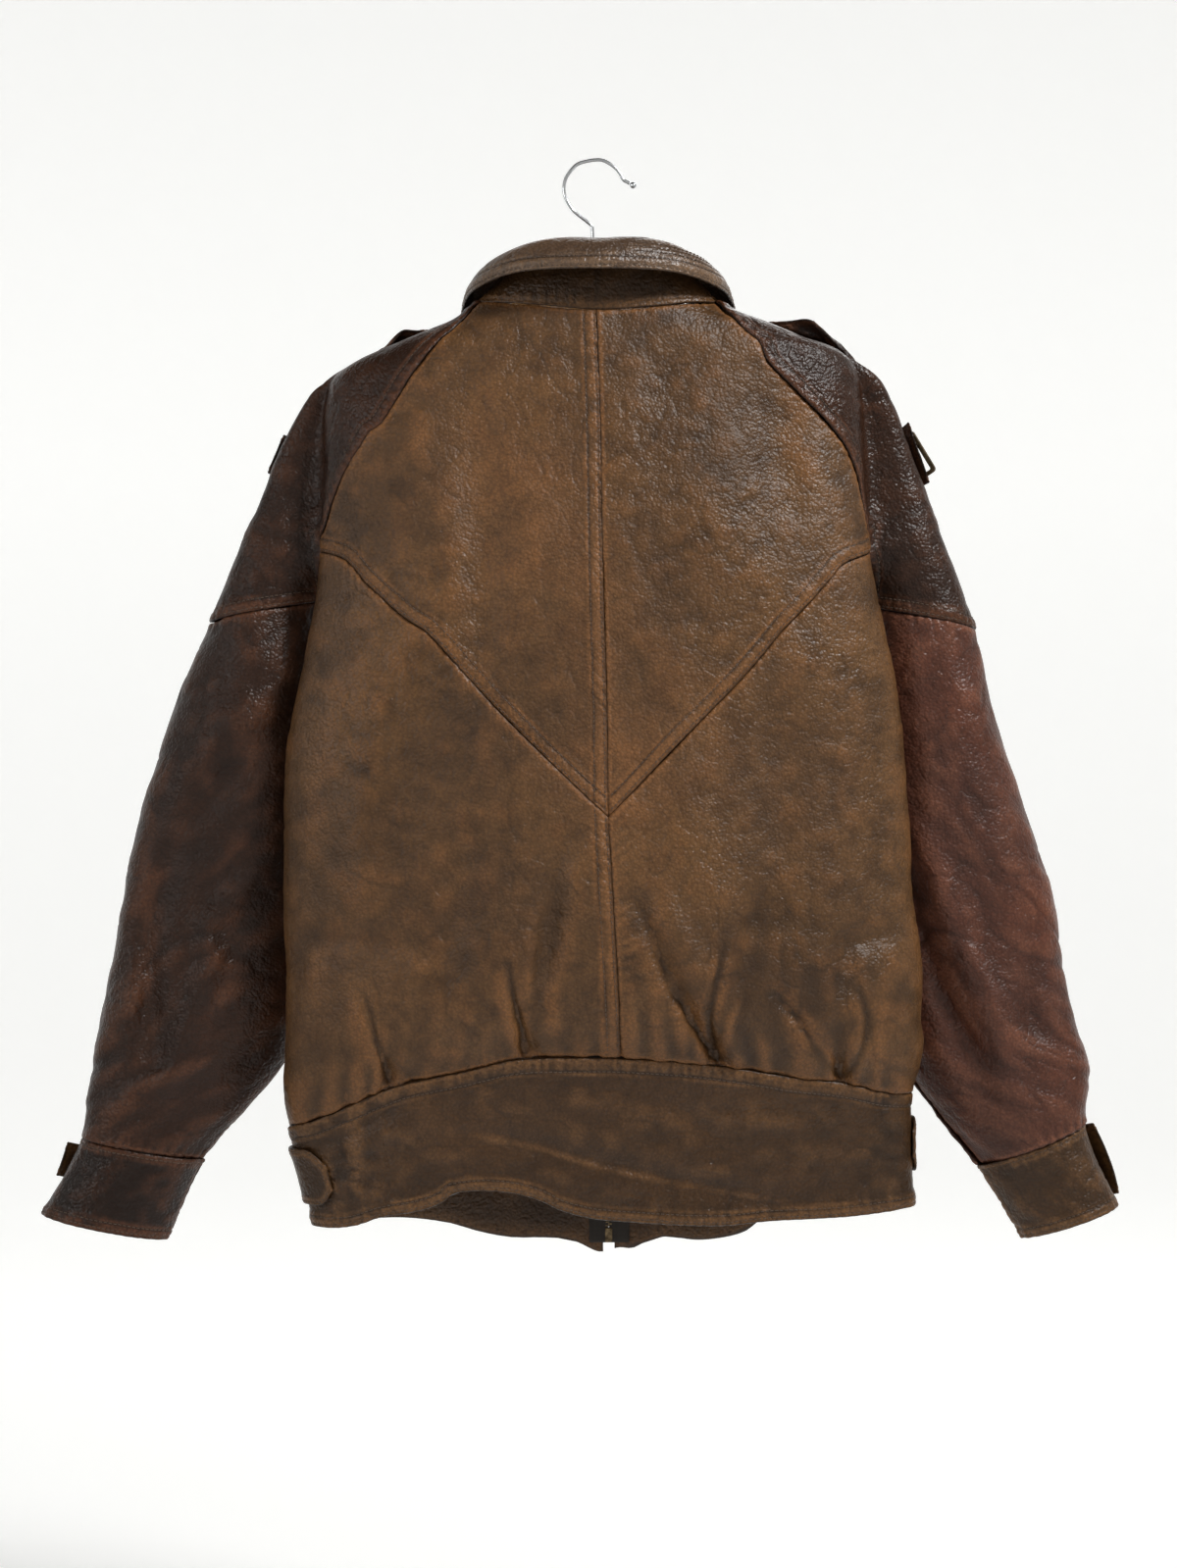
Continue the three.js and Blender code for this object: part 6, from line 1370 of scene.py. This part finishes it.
varnished_wood, wood_tree, wood_shader, wood_place = new_material("varnished_wood")
along = node(wood_tree, "ShaderNodeMapping", {"Vector": wood_place, "Scale": (6.0, 90.0, 90.0)}).outputs["Vector"]
growth = node(wood_tree, "ShaderNodeTexNoise", {"Vector": along, "Scale": 2.2, "Detail": 5.0, "Distortion": 0.7})
fibre = node(wood_tree, "ShaderNodeTexNoise", {"Vector": along, "Scale": 16.0, "Detail": 4.0})
rings_seen = node(
    wood_tree, "ShaderNodeMapRange", {"Value": growth.outputs["Fac"], "From Min": 0.35, "From Max": 0.65})
wood_colour = mixed(wood_tree, rings_seen.outputs["Result"], srgb(196, 150, 96), srgb(150, 104, 60))
wood_tree.links.new(wood_colour, wood_shader.inputs["Base Color"])
wood_bump = node(wood_tree, "ShaderNodeBump", {"Height": fibre.outputs["Fac"], "Strength": 0.15, "Distance": 0.0003})
wood_tree.links.new(wood_bump.outputs["Normal"], wood_shader.inputs["Normal"])
wood_shader.inputs["Roughness"].default_value = 0.35
wood_shader.inputs["Coat Weight"].default_value = 0.4
finished(bar, "hanger_bar", varnished_wood)

WIRE_RADIUS = 1.35
WIRE_RINGS, WIRE_ROUND = 240, 20
BALL_RADIUS = 2.5
HOOK_PATH = [
    [25.2, -15.4], [23.4, -14.4], [20.6, -12.7], [18.7, -9.1], [16.1, -5.6], [11.7, -1.8], [5.6, 1.2], [0, 1.35],
    [-2.8, 1], [-11.7, -1.5], [-16.7, -6.2], [-20.4, -11.8], [-21.8, -17.9], [-21.5, -22.4], [-19.5, -28],
    [-15.6, -34.2], [-10.6, -38.6], [-5.6, -42.5], [-2, -45.9], [-1.4, -50], [-1.4, -70], [-1.4, -97.7]]
bright_wire = metal("bright_wire", srgb(212, 214, 216), srgb(178, 180, 182), 0.12, 0.26, 60.0)
wire_line = smooth_round([[x, 0, z] for x, z in HOOK_PATH], np.linspace(0, 1, WIRE_RINGS))
way = np.gradient(wire_line, axis=0)
way /= np.linalg.norm(way, axis=1)[:, None]
side = np.cross(way, [0, 1, 0])
turn = np.linspace(0, 2 * np.pi, WIRE_ROUND, endpoint=False)
ring = np.cos(turn)[None, :, None] * side[:, None] + np.sin(turn)[None, :, None] * np.array([0, 1, 0])
rings = wire_line[:, None] + WIRE_RADIUS * ring
ids, after, walls = rings_of(WIRE_RINGS, WIRE_ROUND)
ends = np.stack([ids[0], ids[-1, ::-1]])[:, ::-1]
hook = mesh_from("wire_hook", rings.reshape(-1, 3) * 0.001, [walls, ends])
places, faces = turned_block((BALL_RADIUS, BALL_RADIUS, BALL_RADIUS), 1.0, 25, 40)
tip_ball = mesh_from("tip_ball", (places + wire_line[0] - way[0] * 2.8) * 0.001, faces)
finished(hook, "hanger_hook", bright_wire)
finished(tip_ball, "hook_bead", bright_wire)

# Studio: a pale sheet that is the floor and curves up all round, and three soft lamps. The sheet glows, faintly in
# front and more brightly behind the jacket, as painted light.
# All of it is in metres.
FLOOR_Z = -1.25
FLOOR_REACH = 3.4
CURVE = 1.6
ROUND = 72
curl = np.linspace(0, np.pi / 2, 20)
profile = np.concatenate([
    np.stack([np.linspace(0.05, FLOOR_REACH, 12), np.full(12, FLOOR_Z)], -1),
    np.stack([FLOOR_REACH + CURVE * np.sin(curl), FLOOR_Z + CURVE * (1 - np.cos(curl))], -1)[1:],
    np.stack([np.full(6, FLOOR_REACH + CURVE), np.linspace(0.6, 5, 6)], -1)])
turn = np.linspace(0, 2 * np.pi, ROUND, endpoint=False)
places = np.stack(np.broadcast_arrays(
    profile[:, :1] * np.cos(turn), profile[:, :1] * np.sin(turn), profile[:, 1:] + 0 * turn), -1)
ids, after, walls = rings_of(len(profile), ROUND)
backdrop = mesh_from("backdrop", places.reshape(-1, 3), [walls[:, ::-1], ids[:1]])
glowing_sheet, pale_tree, pale_shader, pale_place = new_material("glowing_sheet")
pale_shader.inputs["Base Color"].default_value = (0.82, 0.82, 0.81, 1)
pale_shader.inputs["Roughness"].default_value = 0.9
pale_shader.inputs["Emission Color"].default_value = (1, 1, 0.99, 1)
# Painted light: the sheet's glow grows from front to back.
behind = node(pale_tree, "ShaderNodeSeparateXYZ", {"Vector": pale_place})
glow = node(pale_tree, "ShaderNodeMapRange", {
    "Value": behind.outputs["Y"], "From Min": -0.5, "From Max": 2.6, "To Min": 0.05, "To Max": 0.38},
    interpolation_type="SMOOTHSTEP")
pale_tree.links.new(glow.outputs["Result"], pale_shader.inputs["Emission Strength"])
glowing_sheet.cycles.emission_sampling = "NONE"
backdrop.data.materials.append(glowing_sheet)
bpy.context.scene.view_settings.view_transform = "Standard"
world = bpy.data.worlds.new("world")
bpy.context.scene.world = world
world.use_nodes = True
world.node_tree.nodes["Background"].inputs["Color"].default_value = (1, 0.97, 0.93, 1)
world.node_tree.nodes["Background"].inputs["Strength"].default_value = 0.04
for name, place, size, power in (
        ("key", (1.4, -1.3, 1.5), 0.5, 80), ("fill", (-1.9, -1.7, 0.2), 0.8, 11),
        ("front", (0.4, 2.0, 1.2), 1.4, 16)):
    lamp = bpy.data.lights.new(name, "AREA")
    lamp.size, lamp.energy = size, power
    lamp_object = bpy.data.objects.new(name, lamp)
    lamp_object.location = place
    lamp_object.rotation_euler = (Vector((0, 0, -0.42)) - Vector(place)).to_track_quat("-Z", "Y").to_euler()
    bpy.context.scene.collection.objects.link(lamp_object)

bpy.context.view_layer.update()
